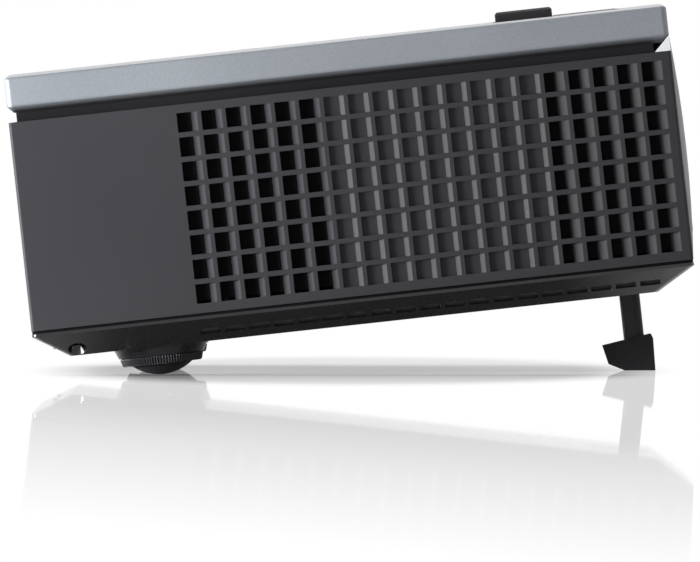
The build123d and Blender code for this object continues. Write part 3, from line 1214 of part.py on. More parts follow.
with BuildPart() as tray_bezel:
    face_x = (TRAY_X1, TRAY_X1 + TRAY_FACE_T + FIT)
    face_z = about(DRIVE_Z + DRIVE_H / 2, TRAY_FACE_H)
    block(face_x, about(DRIVE_Y, TRAY_FACE_W), face_z)
    fillet(tray_bezel.faces().sort_by(Axis.X)[-1].edges(), EDGE_R / 2)
    eject_y = about(DRIVE_Y + EJECT_Y, EJECT_W + 2 * FIT)
    eject_z = about(DRIVE_Z + DRIVE_H / 2, EJECT_H + 2 * FIT)
    pocket_depth = EJECT_TRAVEL + FIT + 2
    block((face_x[1] - pocket_depth, face_x[1] + CUT), eject_y, eject_z, Mode.SUBTRACT)
tray_bezel.part.label = "tray_bezel"

with BuildPart() as eject_button:
    press_x = (face_x[1] - pocket_depth + EJECT_TRAVEL + FIT / 2, face_x[1] + FIT)
    press_y = about(DRIVE_Y + EJECT_Y, EJECT_W)
    block(press_x, press_y, about(DRIVE_Z + DRIVE_H / 2, EJECT_H))
    fillet(eject_button.faces().sort_by(Axis.X)[-1].edges(), EDGE_R / 4)
eject_button.part.label = "eject_button"


# ================================================================ screws
def screw(place, seat):
    """A cross-head screw whose head hangs below its seat."""
    post(*place, (seat - SCREW_HEAD_T, seat), SCREW_HEAD_R)
    post(*place, (seat, seat + SCREW_L), SCREW_SHANK_R)
    cross_z = (seat - SCREW_HEAD_T - CUT, seat - SCREW_HEAD_T / 2)
    long_side = about(0, 2 * SCREW_SHANK_R)
    short_side = about(0, SCREW_SHANK_R / 2)
    for across, along in ((long_side, short_side), (short_side, long_side)):
        cross_x = (place[0] + across[0], place[0] + across[1])
        cross_y = (place[1] + along[0], place[1] + along[1])
        block(cross_x, cross_y, cross_z, Mode.SUBTRACT)


with BuildPart() as case_screws:
    for screw_place in SCREW_PLACES:
        screw(screw_place, SCREW_SEAT)
    for screw_place in DOOR_SCREWS:
        screw(screw_place, DOOR_HEAD)
case_screws.part.label = "case_screws"

# ================================================================ rest pose
PIECES = [
    bottom_cover, right_side_panel, left_side_panel, rear_panel, front_bezel, infrared_window,
    upper_frame, top_cover, keypad_plate, *buttons, indicator_lights,
    lens_barrel, front_lens, focus_ring, zoom_ring,
    right_foot_wheel, right_foot_pad, left_foot_wheel, left_foot_pad,
    elevator_post, elevator_pad, elevator_guide, elevator_button,
    optical_engine_housing, light_tunnel, color_wheel, color_wheel_motor,
    imager_board, imager_heatsink, lamp_housing, lamp_reflector, lamp_burner, lamp_door,
    exhaust_fan_frame, exhaust_fan_rotor, speakers,
    main_board, rear_connectors, power_inlet, power_supply, lamp_ballast,
    drive_case, drive_top_plate, disc_tray, tray_bezel, eject_button, guide_rods,
    lead_screw, pickup_sled, spindle_motor, turntable, case_screws,
]

# Nose up on the front foot, the plan's middle over the origin and the feet on z = 0.
turn = Location((0, 0, 0), (-TILT, 0, 0))
reach = Compound(children=[piece.part.moved(turn) for piece in PIECES]).bounding_box()
shift = (-(reach.min.X + reach.max.X) / 2, -(reach.min.Y + reach.max.Y) / 2, -reach.min.Z)
REST = Location(shift, (-TILT, 0, 0))

for piece in PIECES:
    export_step(piece.part.moved(REST), f"parts/{piece.part.label}.step")
print("nodes", len(PIECES), "shift", shift, "sole", SOLE_Z, "lift", FOOT_LIFT)
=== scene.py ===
import math

import bmesh
import bpy
from mathutils import Matrix, Vector


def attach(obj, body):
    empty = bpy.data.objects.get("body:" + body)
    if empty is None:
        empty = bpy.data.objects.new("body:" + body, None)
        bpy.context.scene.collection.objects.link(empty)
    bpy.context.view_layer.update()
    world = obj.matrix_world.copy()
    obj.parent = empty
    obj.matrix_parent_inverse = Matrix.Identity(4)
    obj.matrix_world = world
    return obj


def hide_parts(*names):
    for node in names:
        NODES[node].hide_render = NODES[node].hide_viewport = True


# A box-shaped projector with a disc drive in its far side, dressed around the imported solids.
# The scene is in metres in the row frame: X across, -Y towards the lens end, Z up. Sizes of the
# casing's own pieces are written in millimetres in the casing's level frame, as it stands before
# it is tilted nose up, and are carried over by CASING.

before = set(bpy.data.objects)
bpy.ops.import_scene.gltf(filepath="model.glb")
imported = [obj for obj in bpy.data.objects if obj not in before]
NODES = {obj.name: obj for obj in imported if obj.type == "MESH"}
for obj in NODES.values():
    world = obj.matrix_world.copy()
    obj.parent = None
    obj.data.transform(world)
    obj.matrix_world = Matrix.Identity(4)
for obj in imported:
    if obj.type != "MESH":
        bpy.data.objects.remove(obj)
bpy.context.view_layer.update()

MM = 0.001
TILT = math.radians(-6.25)
CASING_SHIFT = Vector((-0.2, -4.8199, 17.0504))
CASING = Matrix.Scale(MM, 4) @ Matrix.Translation(CASING_SHIFT) @ Matrix.Rotation(TILT, 4, "X")

# ---------------------------------------------------------------- camera and stage
SIGHT = Vector((-0.1437, 0.0004, 0.03144))  # middle of the picture, on the near side panel
EYE_BACK = 8.0
EYE_HEIGHT = 0.10
FRAME_W = 0.2333  # width that the picture spans at the side panel
SENSOR = 36.0
FLOOR_HALF = 40.0
FLOOR_Z = -0.0001
FLOOR_WHITE = 0.84
FLOOR_LIFT = (0.26, 0.14)  # what is seen of the floor beyond its lit colour, at the front and rear; the smaller rear value paints the floor's shade darker towards the rear
FLOOR_ROUND = (2.2, 8.8, 0.0)  # one over the half lengths of the lit part
FLOOR_LIT = (0.68, 1.0)  # where in it the lit floor starts and ends its change to plain white
MIRROR_PEAK = 0.33  # share of the floor's mirror image near the object
MIRROR_RUN = (1.2, 3.05)  # where it starts to fade and where it has gone
MIRROR_SKEW = 4.8  # how much faster it fades along Y than along X
FLOOR_BLUR = 0.014
# painted shadow on the floor beside the object: where it starts and ends along X, and the share of white at
# its start
NEAR_PAINTED_SHADOW = (-0.13, -0.44, 0.42)
PAINTED_SHADOW_EDGE = 0.03  # width over which it goes under the object
LIFT_RUN = (-0.1, 0.1)  # where along Y the floor's lift changes from its front to its rear value
AMBIENT = 0.26
CLIP = (0.1, 200.0)
WHITE = (1, 1, 1, 1)

# name, position, aim, size in X and Y, watts, colour
LAMPS = (
    ("softbox_top", (0.0, 0.05, 1.6), (0.0, 0.0, 0.05), (0.9, 0.9), 5.0, (1.0, 1.0, 1.0)),
    ("strip_rear", (-0.38, 0.54, 0.03), (-0.14, 0.0, 0.06), (0.32, 0.05), 10.0, (0.98, 0.99, 1.0)),
    ("softbox_side", (-1.7, 1.1, 0.8), (-0.14, 0.05, 0.07), (1.2, 1.2), 0.6, (1.0, 1.0, 1.0)),
    ("softbox_front", (-0.1, -1.8, 0.5), (0.0, -0.1, 0.04), (0.9, 0.9), 4.0, (1.0, 1.0, 1.0)),
    ("softbox_far", (1.8, 0.1, 1.0), (0.1, 0.0, 0.06), (1.2, 1.2), 9.0, (1.0, 1.0, 1.0)),
)


def add_camera():
    """A long lens far off to the photographed side, a little above the floor."""
    data = bpy.data.cameras.new("camera")
    data.sensor_width = SENSOR
    data.lens = SENSOR * EYE_BACK / FRAME_W
    data.clip_start, data.clip_end = CLIP
    camera = bpy.data.objects.new("camera", data)
    bpy.context.scene.collection.objects.link(camera)
    camera.location = (SIGHT.x - EYE_BACK, SIGHT.y, EYE_HEIGHT)
    camera.rotation_euler = (SIGHT - camera.location).to_track_quat("-Z", "Y").to_euler()
    bpy.context.scene.camera = camera


def add_lamps():
    """Plain soft boxes above, behind, beside and in front."""
    for name, place, aim, size, watts, colour in LAMPS:
        data = bpy.data.lights.new(name, "AREA")
        data.shape = "RECTANGLE"
        data.size = size[0]
        data.size_y = size[1]
        data.energy = watts
        data.color = colour
        lamp = bpy.data.objects.new(name, data)
        bpy.context.scene.collection.objects.link(lamp)
        lamp.location = place
        lamp.rotation_euler = (Vector(aim) - Vector(place)).to_track_quat("-Z", "Y").to_euler()


# ---------------------------------------------------------------- node helpers
class Nodes:
    """A short way to write a node tree."""

    def __init__(self, tree):
        self.tree = tree
        tree.nodes.clear()

    def add(self, kind, inputs=None, **settings):
        """A node with its inputs fed and its settings made."""
        node = self.tree.nodes.new(kind)
        for name, value in settings.items():
            setattr(node, name, value)
        for name, value in (inputs or {}).items():
            self.feed(value, node.inputs[name])
        return node

    def math(self, operation, first, second=0.0):
        """The result of one sum."""
        return self.add("ShaderNodeMath", {0: first, 1: second}, operation=operation).outputs[0]

    def ramp(self, value, low, high, to_low=0.0, to_high=1.0, smooth=False):
        """A value brought from one range to another."""
        limits = {"Value": value, "From Min": low, "From Max": high, "To Min": to_low, "To Max": to_high}
        kind = "SMOOTHSTEP" if smooth else "LINEAR"
        return self.add("ShaderNodeMapRange", limits, interpolation_type=kind).outputs[0]

    def mix(self, share, first, second):
        """A colour between two, by a share."""
        mix = self.add("ShaderNodeMix", data_type="RGBA")
        self.feed(share, mix.inputs["Factor"])
        ends = [socket for socket in mix.inputs if socket.type == "RGBA"]
        for value, socket in zip((first, second), ends):
            self.feed(value if isinstance(value, bpy.types.NodeSocket) else (*value, 1), socket)
        return [socket for socket in mix.outputs if socket.type == "RGBA"][0]

    def noise(self, where, scale, detail):
        """Smooth noise at a number of waves per metre."""
        inputs = {"Vector": where, "Scale": scale, "Detail": detail}
        return self.add("ShaderNodeTexNoise", inputs).outputs[0]

    def feed(self, value, socket):
        """Links a socket to an input, or sets the input to a value."""
        if isinstance(value, bpy.types.NodeSocket):
            self.tree.links.new(value, socket)
        else:
            socket.default_value = value


def seen_directly(nodes):
    """1 for what the camera, a reflection or clear glass sees of the surroundings, else 0."""
    path = nodes.add("ShaderNodeLightPath")
    first = nodes.math("MAXIMUM", path.outputs["Is Camera Ray"], path.outputs["Is Glossy Ray"])
    return nodes.math("MAXIMUM", first, path.outputs["Is Transmission Ray"])


def add_world():
    """White where it is seen, a plain soft level where it lights."""
    world = bpy.data.worlds.new("world")
    bpy.context.scene.world = world
    world.use_nodes = True
    nodes = Nodes(world.node_tree)
    level = nodes.ramp(seen_directly(nodes), 0.0, 1.0, AMBIENT, 1.0)
    back = nodes.add("ShaderNodeBackground", {"Color": WHITE, "Strength": level})
    nodes.add("ShaderNodeOutputWorld", {"Surface": back.outputs[0]})


def floor_material():
    """White gloss table: lit and shadowed round the object, with a painted shadow beside its near side and
    painted shade deepening towards the rear, plain white further off.
    """
    made = bpy.data.materials.new("studio_floor")
    made.use_nodes = True
    nodes = Nodes(made.node_tree)
    where = nodes.add("ShaderNodeNewGeometry").outputs["Position"]
    split = nodes.add("ShaderNodeSeparateXYZ", {0: where})
    scaled = nodes.add("ShaderNodeVectorMath", {0: where, 1: FLOOR_ROUND}, operation="MULTIPLY").outputs[0]
    away = nodes.add("ShaderNodeVectorMath", {0: scaled}, operation="LENGTH").outputs["Value"]
    # painted shadow: the floor's white is lowered beside the object's near side
    start, end, least = NEAR_PAINTED_SHADOW
    beside = nodes.ramp(split.outputs["X"], end, start, 1.0, least)
    outer = nodes.ramp(split.outputs["X"], start, start + PAINTED_SHADOW_EDGE, 0.0, 1.0)
    share_white = nodes.math("MAXIMUM", beside, outer)
    white = nodes.math("MULTIPLY", share_white, FLOOR_WHITE)
    shade = nodes.add("ShaderNodeCombineColor", {0: white, 1: white, 2: white}).outputs[0]
    flat = nodes.add("ShaderNodeBsdfDiffuse", {"Color": shade})
    glow = nodes.add("ShaderNodeEmission", {"Color": WHITE, "Strength": 1.0})
    seen = seen_directly(nodes)
    # painted shade: less lift towards the rear darkens the floor's shadow there
    along = nodes.ramp(split.outputs["Y"], *LIFT_RUN, *FLOOR_LIFT)
    raised = nodes.math("MULTIPLY", seen, nodes.math("MULTIPLY", along, share_white))
    lift = nodes.add("ShaderNodeEmission", {"Color": WHITE, "Strength": raised})
    lit = nodes.add("ShaderNodeAddShader", {0: flat.outputs[0], 1: lift.outputs[0]})
    far = nodes.math("MULTIPLY", nodes.ramp(away, *FLOOR_LIT, smooth=True), seen)
    base = nodes.add("ShaderNodeMixShader", {0: far, 1: lit.outputs[0], 2: glow.outputs[0]})
    gloss = nodes.add("ShaderNodeBsdfGlossy", {"Color": WHITE, "Roughness": FLOOR_BLUR})
    skew = nodes.math("MULTIPLY", split.outputs["Y"], MIRROR_SKEW)
    reach = nodes.math("SUBTRACT", skew, split.outputs["X"])
    share = nodes.ramp(reach, *MIRROR_RUN, MIRROR_PEAK, 0.0)
    both = nodes.add("ShaderNodeMixShader", {0: share, 1: base.outputs[0], 2: gloss.outputs[0]})
    nodes.add("ShaderNodeOutputMaterial", {"Surface": both.outputs[0]})
    return made


def add_floor():
    """A wide level floor just under the feet."""
    mesh = bpy.data.meshes.new("studio_floor")
    half = FLOOR_HALF
    corners = [(-half, -half, FLOOR_Z), (half, -half, FLOOR_Z), (half, half, FLOOR_Z), (-half, half, FLOOR_Z)]
    mesh.from_pydata(corners, [], [(0, 1, 2, 3)])
    floor = bpy.data.objects.new("studio_floor", mesh)
    bpy.context.scene.collection.objects.link(floor)
    mesh.materials.append(floor_material())


# ---------------------------------------------------------------- finishes
# slot: dark and light colour, roughness low and high, metallic, grain per metre, grain depth in
# metres, and whatever else is the same all over, set on the shader itself
FINISHES = {
    "base_black": ((0.003, 0.003, 0.004), (0.006, 0.006, 0.007), (0.22, 0.32), 0.0, 2600, 8e-6,
                   {"Coat Weight": 0.3, "Coat Roughness": 0.08, "Specular IOR Level": 0.35}),
    "panel_grey": ((0.0195, 0.0195, 0.0225), (0.0235, 0.0235, 0.0265), (0.52, 0.62), 0.0, 3200, 1.4e-5,
                   {"Specular IOR Level": 0.2}),
    "bezel_white": ((0.62, 0.63, 0.65), (0.70, 0.71, 0.73), (0.30, 0.40), 0.0, 3000, 8e-6,
                    {"Coat Weight": 0.2, "Coat Roughness": 0.2}),
    "window_red": ((0.035, 0.001, 0.003), (0.06, 0.002, 0.005), (0.06, 0.12), 0.0, 900, 3e-6,
                   {"Coat Weight": 0.1, "Coat Roughness": 0.05}),
    # the neck is a dark moulding, and its near-black colour is also painted shade for the shadow under the
    # lid's edge
    "neck_black": ((0.003, 0.003, 0.004), (0.006, 0.006, 0.007), (0.42, 0.54), 0.0, 2800, 1.2e-5,
                   {"Specular IOR Level": 0.15}),
    "lid_silver": ((0.162, 0.176, 0.195), (0.208, 0.223, 0.242), (0.50, 0.60), 0.30, 3800, 1.6e-5,
                   {"Coat Weight": 0.15, "Coat Roughness": 0.2}),
    "light_pipe": ((0.45, 0.46, 0.48), (0.6, 0.6, 0.6), (0.15, 0.25), 0.0, 1800, 4e-6, {}),
    "lens_black": ((0.006, 0.006, 0.007), (0.012, 0.012, 0.013), (0.34, 0.46), 0.0, 3000, 1e-5,
                   {"Specular IOR Level": 0.3}),
    "lens_glass": ((0.85, 0.88, 0.95), (0.9, 0.93, 1.0), (0.01, 0.03), 0.0, 300, 2e-7,
                   {"Transmission Weight": 1.0, "IOR": 1.52, "Coat Weight": 0.6, "Coat Roughness": 0.02,
                    "Coat Tint": (0.6, 0.55, 1.0, 1.0)}),
    "ring_black": ((0.030, 0.030, 0.033), (0.042, 0.042, 0.046), (0.40, 0.52), 0.0, 2600, 1.4e-5,
                   {"Specular IOR Level": 0.35}),
    "foot_black": ((0.011, 0.011, 0.013), (0.018, 0.018, 0.020), (0.34, 0.46), 0.0, 2800, 1.4e-5,
                   {"Specular IOR Level": 0.32}),
    "foot_rubber": ((0.006, 0.006, 0.008), (0.012, 0.012, 0.014), (0.5, 0.65), 0.0, 2400, 3e-5,
                    {"Specular IOR Level": 0.3}),
    "inner_plastic": ((0.004, 0.004, 0.005), (0.010, 0.010, 0.011), (0.5, 0.65), 0.0, 2000, 2e-5,
                      {"Specular IOR Level": 0.2}),
    "cast_metal": ((0.38, 0.38, 0.40), (0.5, 0.5, 0.52), (0.42, 0.58), 0.9, 1600, 3e-5, {}),
    "mirror_glass": ((0.86, 0.86, 0.88), (0.9, 0.9, 0.92), (0.02, 0.06), 1.0, 400, 1e-6, {}),
    "wheel_glass": ((0.8, 0.85, 0.9), (0.85, 0.9, 0.95), (0.02, 0.05), 0.0, 400, 1e-6,
                    {"Transmission Weight": 0.9, "IOR": 1.5}),
    "steel": ((0.42, 0.42, 0.43), (0.55, 0.55, 0.56), (0.26, 0.4), 1.0, 1500, 1.2e-5, {}),
    "board_green": ((0.012, 0.10, 0.045), (0.02, 0.16, 0.07), (0.3, 0.45), 0.0, 700, 3e-5,
                    {"Coat Weight": 0.3, "Coat Roughness": 0.1}),
    "heatsink_metal": ((0.5, 0.5, 0.52), (0.62, 0.62, 0.64), (0.3, 0.42), 1.0, 1400, 1.5e-5, {}),
    "fan_plastic": ((0.008, 0.008, 0.009), (0.014, 0.014, 0.016), (0.38, 0.5), 0.0, 2400, 1.4e-5,
                    {"Specular IOR Level": 0.3}),
    "tray_plastic": ((0.02, 0.02, 0.023), (0.03, 0.03, 0.033), (0.4, 0.5), 0.0, 2600, 1.4e-5, {}),
    "key_silver": ((0.30, 0.31, 0.33), (0.38, 0.39, 0.41), (0.3, 0.4), 0.6, 3200, 1.2e-5,
                   {"Coat Weight": 0.3, "Coat Roughness": 0.15}),
}
# finishes of the scene's own small pieces, each with the slot that it belongs to
TINTS = {
    # near black: the cloth of the screens, and painted shade where it fills the seam over the base
    "cloth_and_seam_shade": ("inner_plastic", (0.002, 0.002, 0.002), (0.005, 0.005, 0.006), (0.75, 0.9),
                     0.0, 1800, 9e-5, {"Specular IOR Level": 0.08}),
    # painted light: pale so that the shaded slots show about as dark as the skirt round them
    "slot_painted_light": ("inner_plastic", (0.26, 0.26, 0.265), (0.33, 0.33, 0.335), (0.6, 0.7), 0.0, 2000,
                  2e-5, {"Specular IOR Level": 0.1}),
    "mark_dark": ("panel_grey", (0.012, 0.012, 0.014), (0.02, 0.02, 0.022), (0.4, 0.5), 0.0, 2600,
                  4e-6, {}),
    "mark_pale": ("bezel_white", (0.55, 0.56, 0.58), (0.66, 0.67, 0.69), (0.4, 0.5), 0.0, 2600,
                  4e-6, {}),
    "port_blue": ("inner_plastic", (0.012, 0.035, 0.16), (0.018, 0.05, 0.22), (0.35, 0.45), 0.0,
                  2000, 8e-6, {}),
    "jack_yellow": ("inner_plastic", (0.62, 0.42, 0.02), (0.72, 0.5, 0.03), (0.3, 0.4), 0.0, 2000,
                    8e-6, {}),
    "jack_red": ("inner_plastic", (0.42, 0.012, 0.015), (0.5, 0.018, 0.02), (0.3, 0.4), 0.0, 2000,
                 8e-6, {}),
    "jack_white": ("inner_plastic", (0.62, 0.62, 0.6), (0.7, 0.7, 0.68), (0.3, 0.4), 0.0, 2000,
                   8e-6, {}),
    "jack_green": ("inner_plastic", (0.05, 0.3, 0.08), (0.07, 0.36, 0.1), (0.3, 0.4), 0.0, 2000,
                   8e-6, {}),
    "contact_gold": ("steel", (0.75, 0.55, 0.2), (0.85, 0.64, 0.28), (0.2, 0.32), 1.0, 1800, 4e-6,
                     {}),
}
CLOUD = 14.0  # slow change of colour, per metre
CLOUD_DETAIL = 3.0
GRAIN_DETAIL = 2.0
NOISE_SPAN = (0.7, 1.3)  # where the sum of the slow and fine noise goes from one end to the other
FLAKE = 8000.0  # metal flakes in the silver paints, per metre
FLAKED = {"lid_silver": 0.2, "key_silver": 0.14}  # how much their flakes differ in brightness
LID_SHADE_FADE = (83.0, 86.0)  # painted shade: the lid's colour turns black on its underside between these heights, standing in for the shadow under its edge
# painted shade: the near black that the lid's underside turns to
LID_PAINTED_SHADE = (0.006, 0.006, 0.007)


def finish_material(name, dark, light, rough, metallic, grain, depth, fixed):
    """Moulded, painted or bare surface: slow colour drift, fine grain in roughness and relief."""
    made = bpy.data.materials.new(name)
    made.use_nodes = True
    nodes = Nodes(made.node_tree)
    where = nodes.add("ShaderNodeTexCoord").outputs["Object"]
    slow = nodes.noise(where, CLOUD, CLOUD_DETAIL)
    fine = nodes.noise(where, float(grain), GRAIN_DETAIL)
    drift = nodes.math("ADD", slow, fine)
    colour = nodes.mix(nodes.ramp(drift, *NOISE_SPAN), dark, light)
    if name in FLAKED:
        cells = nodes.add("ShaderNodeTexVoronoi", {"Vector": where, "Scale": FLAKE})
        spark = nodes.add("ShaderNodeSeparateColor", {0: cells.outputs["Color"]}).outputs[0]
        glint = nodes.ramp(spark, 0.0, 1.0, -FLAKED[name], FLAKED[name])
        bright = nodes.math("ADD", glint, 1.0)
        colour = nodes.add("ShaderNodeHueSaturation", {"Color": colour, "Value": bright}).outputs[0]
    # painted shade: below its band the lid is coloured black for the shadow under its edge
    if name == "lid_silver":
        up = CASING.to_3x3().normalized() @ Vector((0, 0, 1))
        along = nodes.add("ShaderNodeVectorMath", {0: where, 1: up}, operation="DOT_PRODUCT")
        level = along.outputs["Value"]
        origin = up.dot(CASING.translation)
        fade = nodes.ramp(level, *(origin + height * MM for height in LID_SHADE_FADE), smooth=True)
        colour = nodes.mix(fade, LID_PAINTED_SHADE, colour)
    dull = nodes.ramp(drift, *NOISE_SPAN, *rough)
    relief = nodes.add("ShaderNodeBump", {"Height": fine, "Strength": 1.0, "Distance": depth})
    shader = nodes.add("ShaderNodeBsdfPrincipled", {"Base Color": colour, "Roughness": dull,
                                                    "Normal": relief.outputs[0], "Metallic": metallic,
                                                    **fixed})
    nodes.add("ShaderNodeOutputMaterial", {"Surface": shader.outputs[0]})
    return made


MADE = {name: finish_material(name, *values) for name, values in FINISHES.items()}
MADE.update({name: finish_material(name, *values[1:]) for name, values in TINTS.items()})

# nodes whose outer edges are softened, with the softening's width in millimetres
SOFT_EDGES = {
    "top_cover": 0.3, "front_bezel": 0.3, "rear_panel": 0.25, "right_side_panel": 0.15,
    "left_side_panel": 0.15, "bottom_cover": 0.2, "keypad_plate": 0.2, "zoom_ring": 0.3,
    "elevator_post": 0.2, "elevator_pad": 0.3, "elevator_button": 0.3, "tray_bezel": 0.2,
    "disc_tray": 0.2, "infrared_window": 0.2,
}
SHARP = math.radians(28.0)
WELD_WITHIN = 2e-6  # metres
BEVEL_STEPS = 2
NORMAL_WEIGHT = 50


def dress_nodes():
    """Every carried-over node takes its slot's finish, and the outer ones softer edges."""
    for node in NODES.values():
        for slot in node.material_slots:
            slot.material = MADE[slot.material.name.split(".")[0]]
        if node.name in SOFT_EDGES:
            soften(node, SOFT_EDGES[node.name])


def soften(thing, width, weld=True):
    """Rounds a mesh's sharp edges a little, once its split corners are joined, and evens its shading."""
    if weld:
        thing.modifiers.new("weld", "WELD").merge_threshold = WELD_WITHIN
    bevel = thing.modifiers.new("soften", "BEVEL")
    bevel.width = width * MM
    bevel.segments = BEVEL_STEPS
    bevel.limit_method = "ANGLE"
    bevel.angle_limit = SHARP
    even = thing.modifiers.new("even", "WEIGHTED_NORMAL")
    even.mode = "FACE_AREA_WITH_ANGLE"
    even.weight = NORMAL_WEIGHT
    even.keep_sharp = False


# ---------------------------------------------------------------- pieces
def new_piece(name, mesh, finish, body):
    """A mesh drawn in the casing's millimetres becomes a piece that rides on a body."""
    bmesh.ops.recalc_face_normals(mesh, faces=mesh.faces)
    mesh.transform(CASING)
    data = bpy.data.meshes.new(name)
    mesh.to_mesh(data)
    mesh.free()
    made = bpy.data.objects.new(name, data)
    bpy.context.scene.collection.objects.link(made)
    data.materials.append(MADE[finish])
    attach(made, body)
    return made


def prism(mesh, outline, lift):
    """A flat outline of points, raised along a vector."""
    low = [mesh.verts.new(point) for point in outline]
    high = [mesh.verts.new(Vector(point) + Vector(lift)) for point in outline]
    mesh.faces.new(low)
    mesh.faces.new(high[::-1])
    for index, corner in enumerate(low):
        after = (index + 1) % len(low)
        mesh.faces.new((corner, low[after], high[after], high[index]))


def polar(middle, radius, turn):
    """The point at a distance and a turn in degrees from a middle."""
    angle = math.radians(turn)
    return (middle[0] + radius * math.cos(angle), middle[1] + radius * math.sin(angle))


def arc(middle, radius, start, end, steps):
    """Points of an arc, in degrees."""
    return [polar(middle, radius, start + (end - start) * step / steps) for step in range(steps + 1)]


def oblong(low, high):
    """The four corners of an oblong, from two opposite ones."""
    return [low, (high[0], low[1]), high, (low[0], high[1])]


def moved(points, middle):
    """Points drawn round nought, carried to a middle."""
    return [(middle[0] + x, middle[1] + y) for x, y in points]


def flat(points, level):
    """Points drawn in X and Y, on a face that looks along Z."""
    return [(x, y, level) for x, y in points]


def upright(points, depth):
    """Points drawn in X and Z, on a face that looks along Y."""
    return [(x, depth, z) for x, z in points]


def facing_rear(depth):
    """A placing for band() that stands its points at a depth along Y."""
    return lambda points: upright(points, depth)


def band(mesh, middle, radii, place, lift, turn=(0, 360), steps=40):
    """A ring or part of one, drawn by place() at a level and raised along a vector."""
    outer = arc(middle, radii[1], *turn, steps)
    inner = arc(middle, radii[0], *turn, steps)
    for index in range(steps):
        corners = (inner[index], outer[index], outer[index + 1], inner[index + 1])
        prism(mesh, place(corners), lift)


WEAVE_PITCH = 0.9
WEAVE_DEPTH = 0.1


def woven_sheet(mesh, x, y, z):
    """A thin upright sheet across X whose outer face is woven."""
    rows = round((z[1] - z[0]) / WEAVE_PITCH)
    cols = round((y[1] - y[0]) / WEAVE_PITCH)
    side = 1 if x[0] > x[1] else -1
    grid = []
    for row in range(rows + 1):
        line = []
        for col in range(cols + 1):
            wave = WEAVE_DEPTH * ((row + col) % 2)
            across = y[0] + (y[1] - y[0]) * col / cols
            up = z[0] + (z[1] - z[0]) * row / rows
            line.append(mesh.verts.new((x[0] - side * wave, across, up)))
        grid.append(line)
    for row in range(rows):
        for col in range(cols):
            low, high = grid[row], grid[row + 1]
            mesh.faces.new((low[col], low[col + 1], high[col + 1], high[col]))
    back = [mesh.verts.new((x[1], y[i], z[j])) for i, j in ((0, 0), (1, 0), (1, 1), (0, 1))]
    mesh.faces.new(back)
    edges = (
        (grid[0], back[0], back[1]), ([line[-1] for line in grid], back[1], back[2]),
        (grid[-1][::-1], back[2], back[3]), ([line[0] for line in grid][::-1], back[3], back[0]),
    )
    for run, first, second in edges:
        mesh.faces.new([*run, second, first])


PANEL_IN = 140.64  # just inside a side panel's inner face
SCREENS = {  # side, Y and Z spans in the casing's frame
    "right_vent_screen": (-1, (5.0, 60.5), (13.7, 78.5)),
    "right_speaker_cloth": (-1, (-107.9, -66.5), (13.7, 78.5)),
    "left_vent_screen": (1, (5.0, 60.5), (13.7, 45.5)),
    "left_speaker_cloth": (1, (-107.9, -66.5), (13.7, 45.5)),
}
SCREEN_T = 0.5
SLOT_SPAN = (-100.5, 56.5)
SLOT_BACK = ((130.5, 2.56), (133.35, 4.4), (133.0, 4.8), (130.1, 2.56))  # X and Z of its section


def add_screens():
    """Woven black screens behind the grilles, and grey strips behind the skirt's slots whose paleness is
    painted light that lifts the slots' shade to about the skirt's tone.
    """
    for name, (side, y, z) in SCREENS.items():
        mesh = bmesh.new()
        woven_sheet(mesh, (side * PANEL_IN, side * (PANEL_IN - SCREEN_T)), y, z)
        new_piece(name, mesh, "cloth_and_seam_shade", "case")
    for name, side in (("right_slot_strip", -1), ("left_slot_strip", 1)):
        mesh = bmesh.new()
        section = [(side * x, SLOT_SPAN[0], z) for x, z in SLOT_BACK]
        prism(mesh, section, (0, SLOT_SPAN[1] - SLOT_SPAN[0], 0))
        new_piece(name, mesh, "slot_painted_light", "case")


SEAM_Z = (8.62, 9.58)  # the gap between the base and the panels
SEAM_OUT = (142.2, 110.8)  # half its outer size in X and Y
SEAM_IN = (140.35, 107.85)  # half its inner size


def add_seam():
    """A matt near-black band that fills the gap over the base all round: painted shade for the shadow in that
    gap.
    """
    mesh = bmesh.new()
    corners = ((-1, -1), (1, -1), (1, 1), (-1, 1))
    for first, second in zip(corners, corners[1:] + corners[:1]):
        ends = [(SEAM_OUT, first), (SEAM_OUT, second), (SEAM_IN, second), (SEAM_IN, first)]
        section = [(size[0] * sign[0], size[1] * sign[1], SEAM_Z[0]) for size, sign in ends]
        prism(mesh, section, (0, 0, SEAM_Z[1] - SEAM_Z[0]))
    # painted shade: the band stands in for the shadow in the seam
    new_piece("base_seam_shade", mesh, "cloth_and_seam_shade", "case")


WHEELS = (("right", -113.5), ("left", 113.5))  # side and X of the middle
WHEEL_Y = 69.0
# height and radius down the wheel's side, and how deep its knurling is there
WHEEL_RUN = ((-3.2, 13.4, 0.0), (-3.35, 13.8, 0.25), (-3.6, 13.9, 0.5), (-4.9, 13.55, 0.5),
             (-5.6, 13.3, 0.45), (-5.8, 13.15, 0.2), (-5.9, 12.8, 0.0))
TEETH = 90
TOOTH_STEPS = 6
STUD_R = 5.0
STUD_LOW = -2.9
STUD_TOP = 12.0
THREAD_DEPTH = 0.25
THREAD_LEVELS = 24
BORE_R = 2.58
BORE_TOP = -5.6
LEAD_IN = 0.3  # how much wider the stud's foot and the bore's mouth are
# radius and height of what goes on from the wheel's top and from its underside
STUD_RUN = (
    (STUD_R + LEAD_IN, WHEEL_RUN[0][0]),
    (STUD_R, STUD_LOW),
    *((STUD_R - THREAD_DEPTH * (level % 2), STUD_LOW + (STUD_TOP - STUD_LOW) * level / THREAD_LEVELS)
      for level in range(1, THREAD_LEVELS + 1)),
)
BORE_RUN = ((BORE_R + LEAD_IN, WHEEL_RUN[-1][0]), (BORE_R, BORE_TOP))


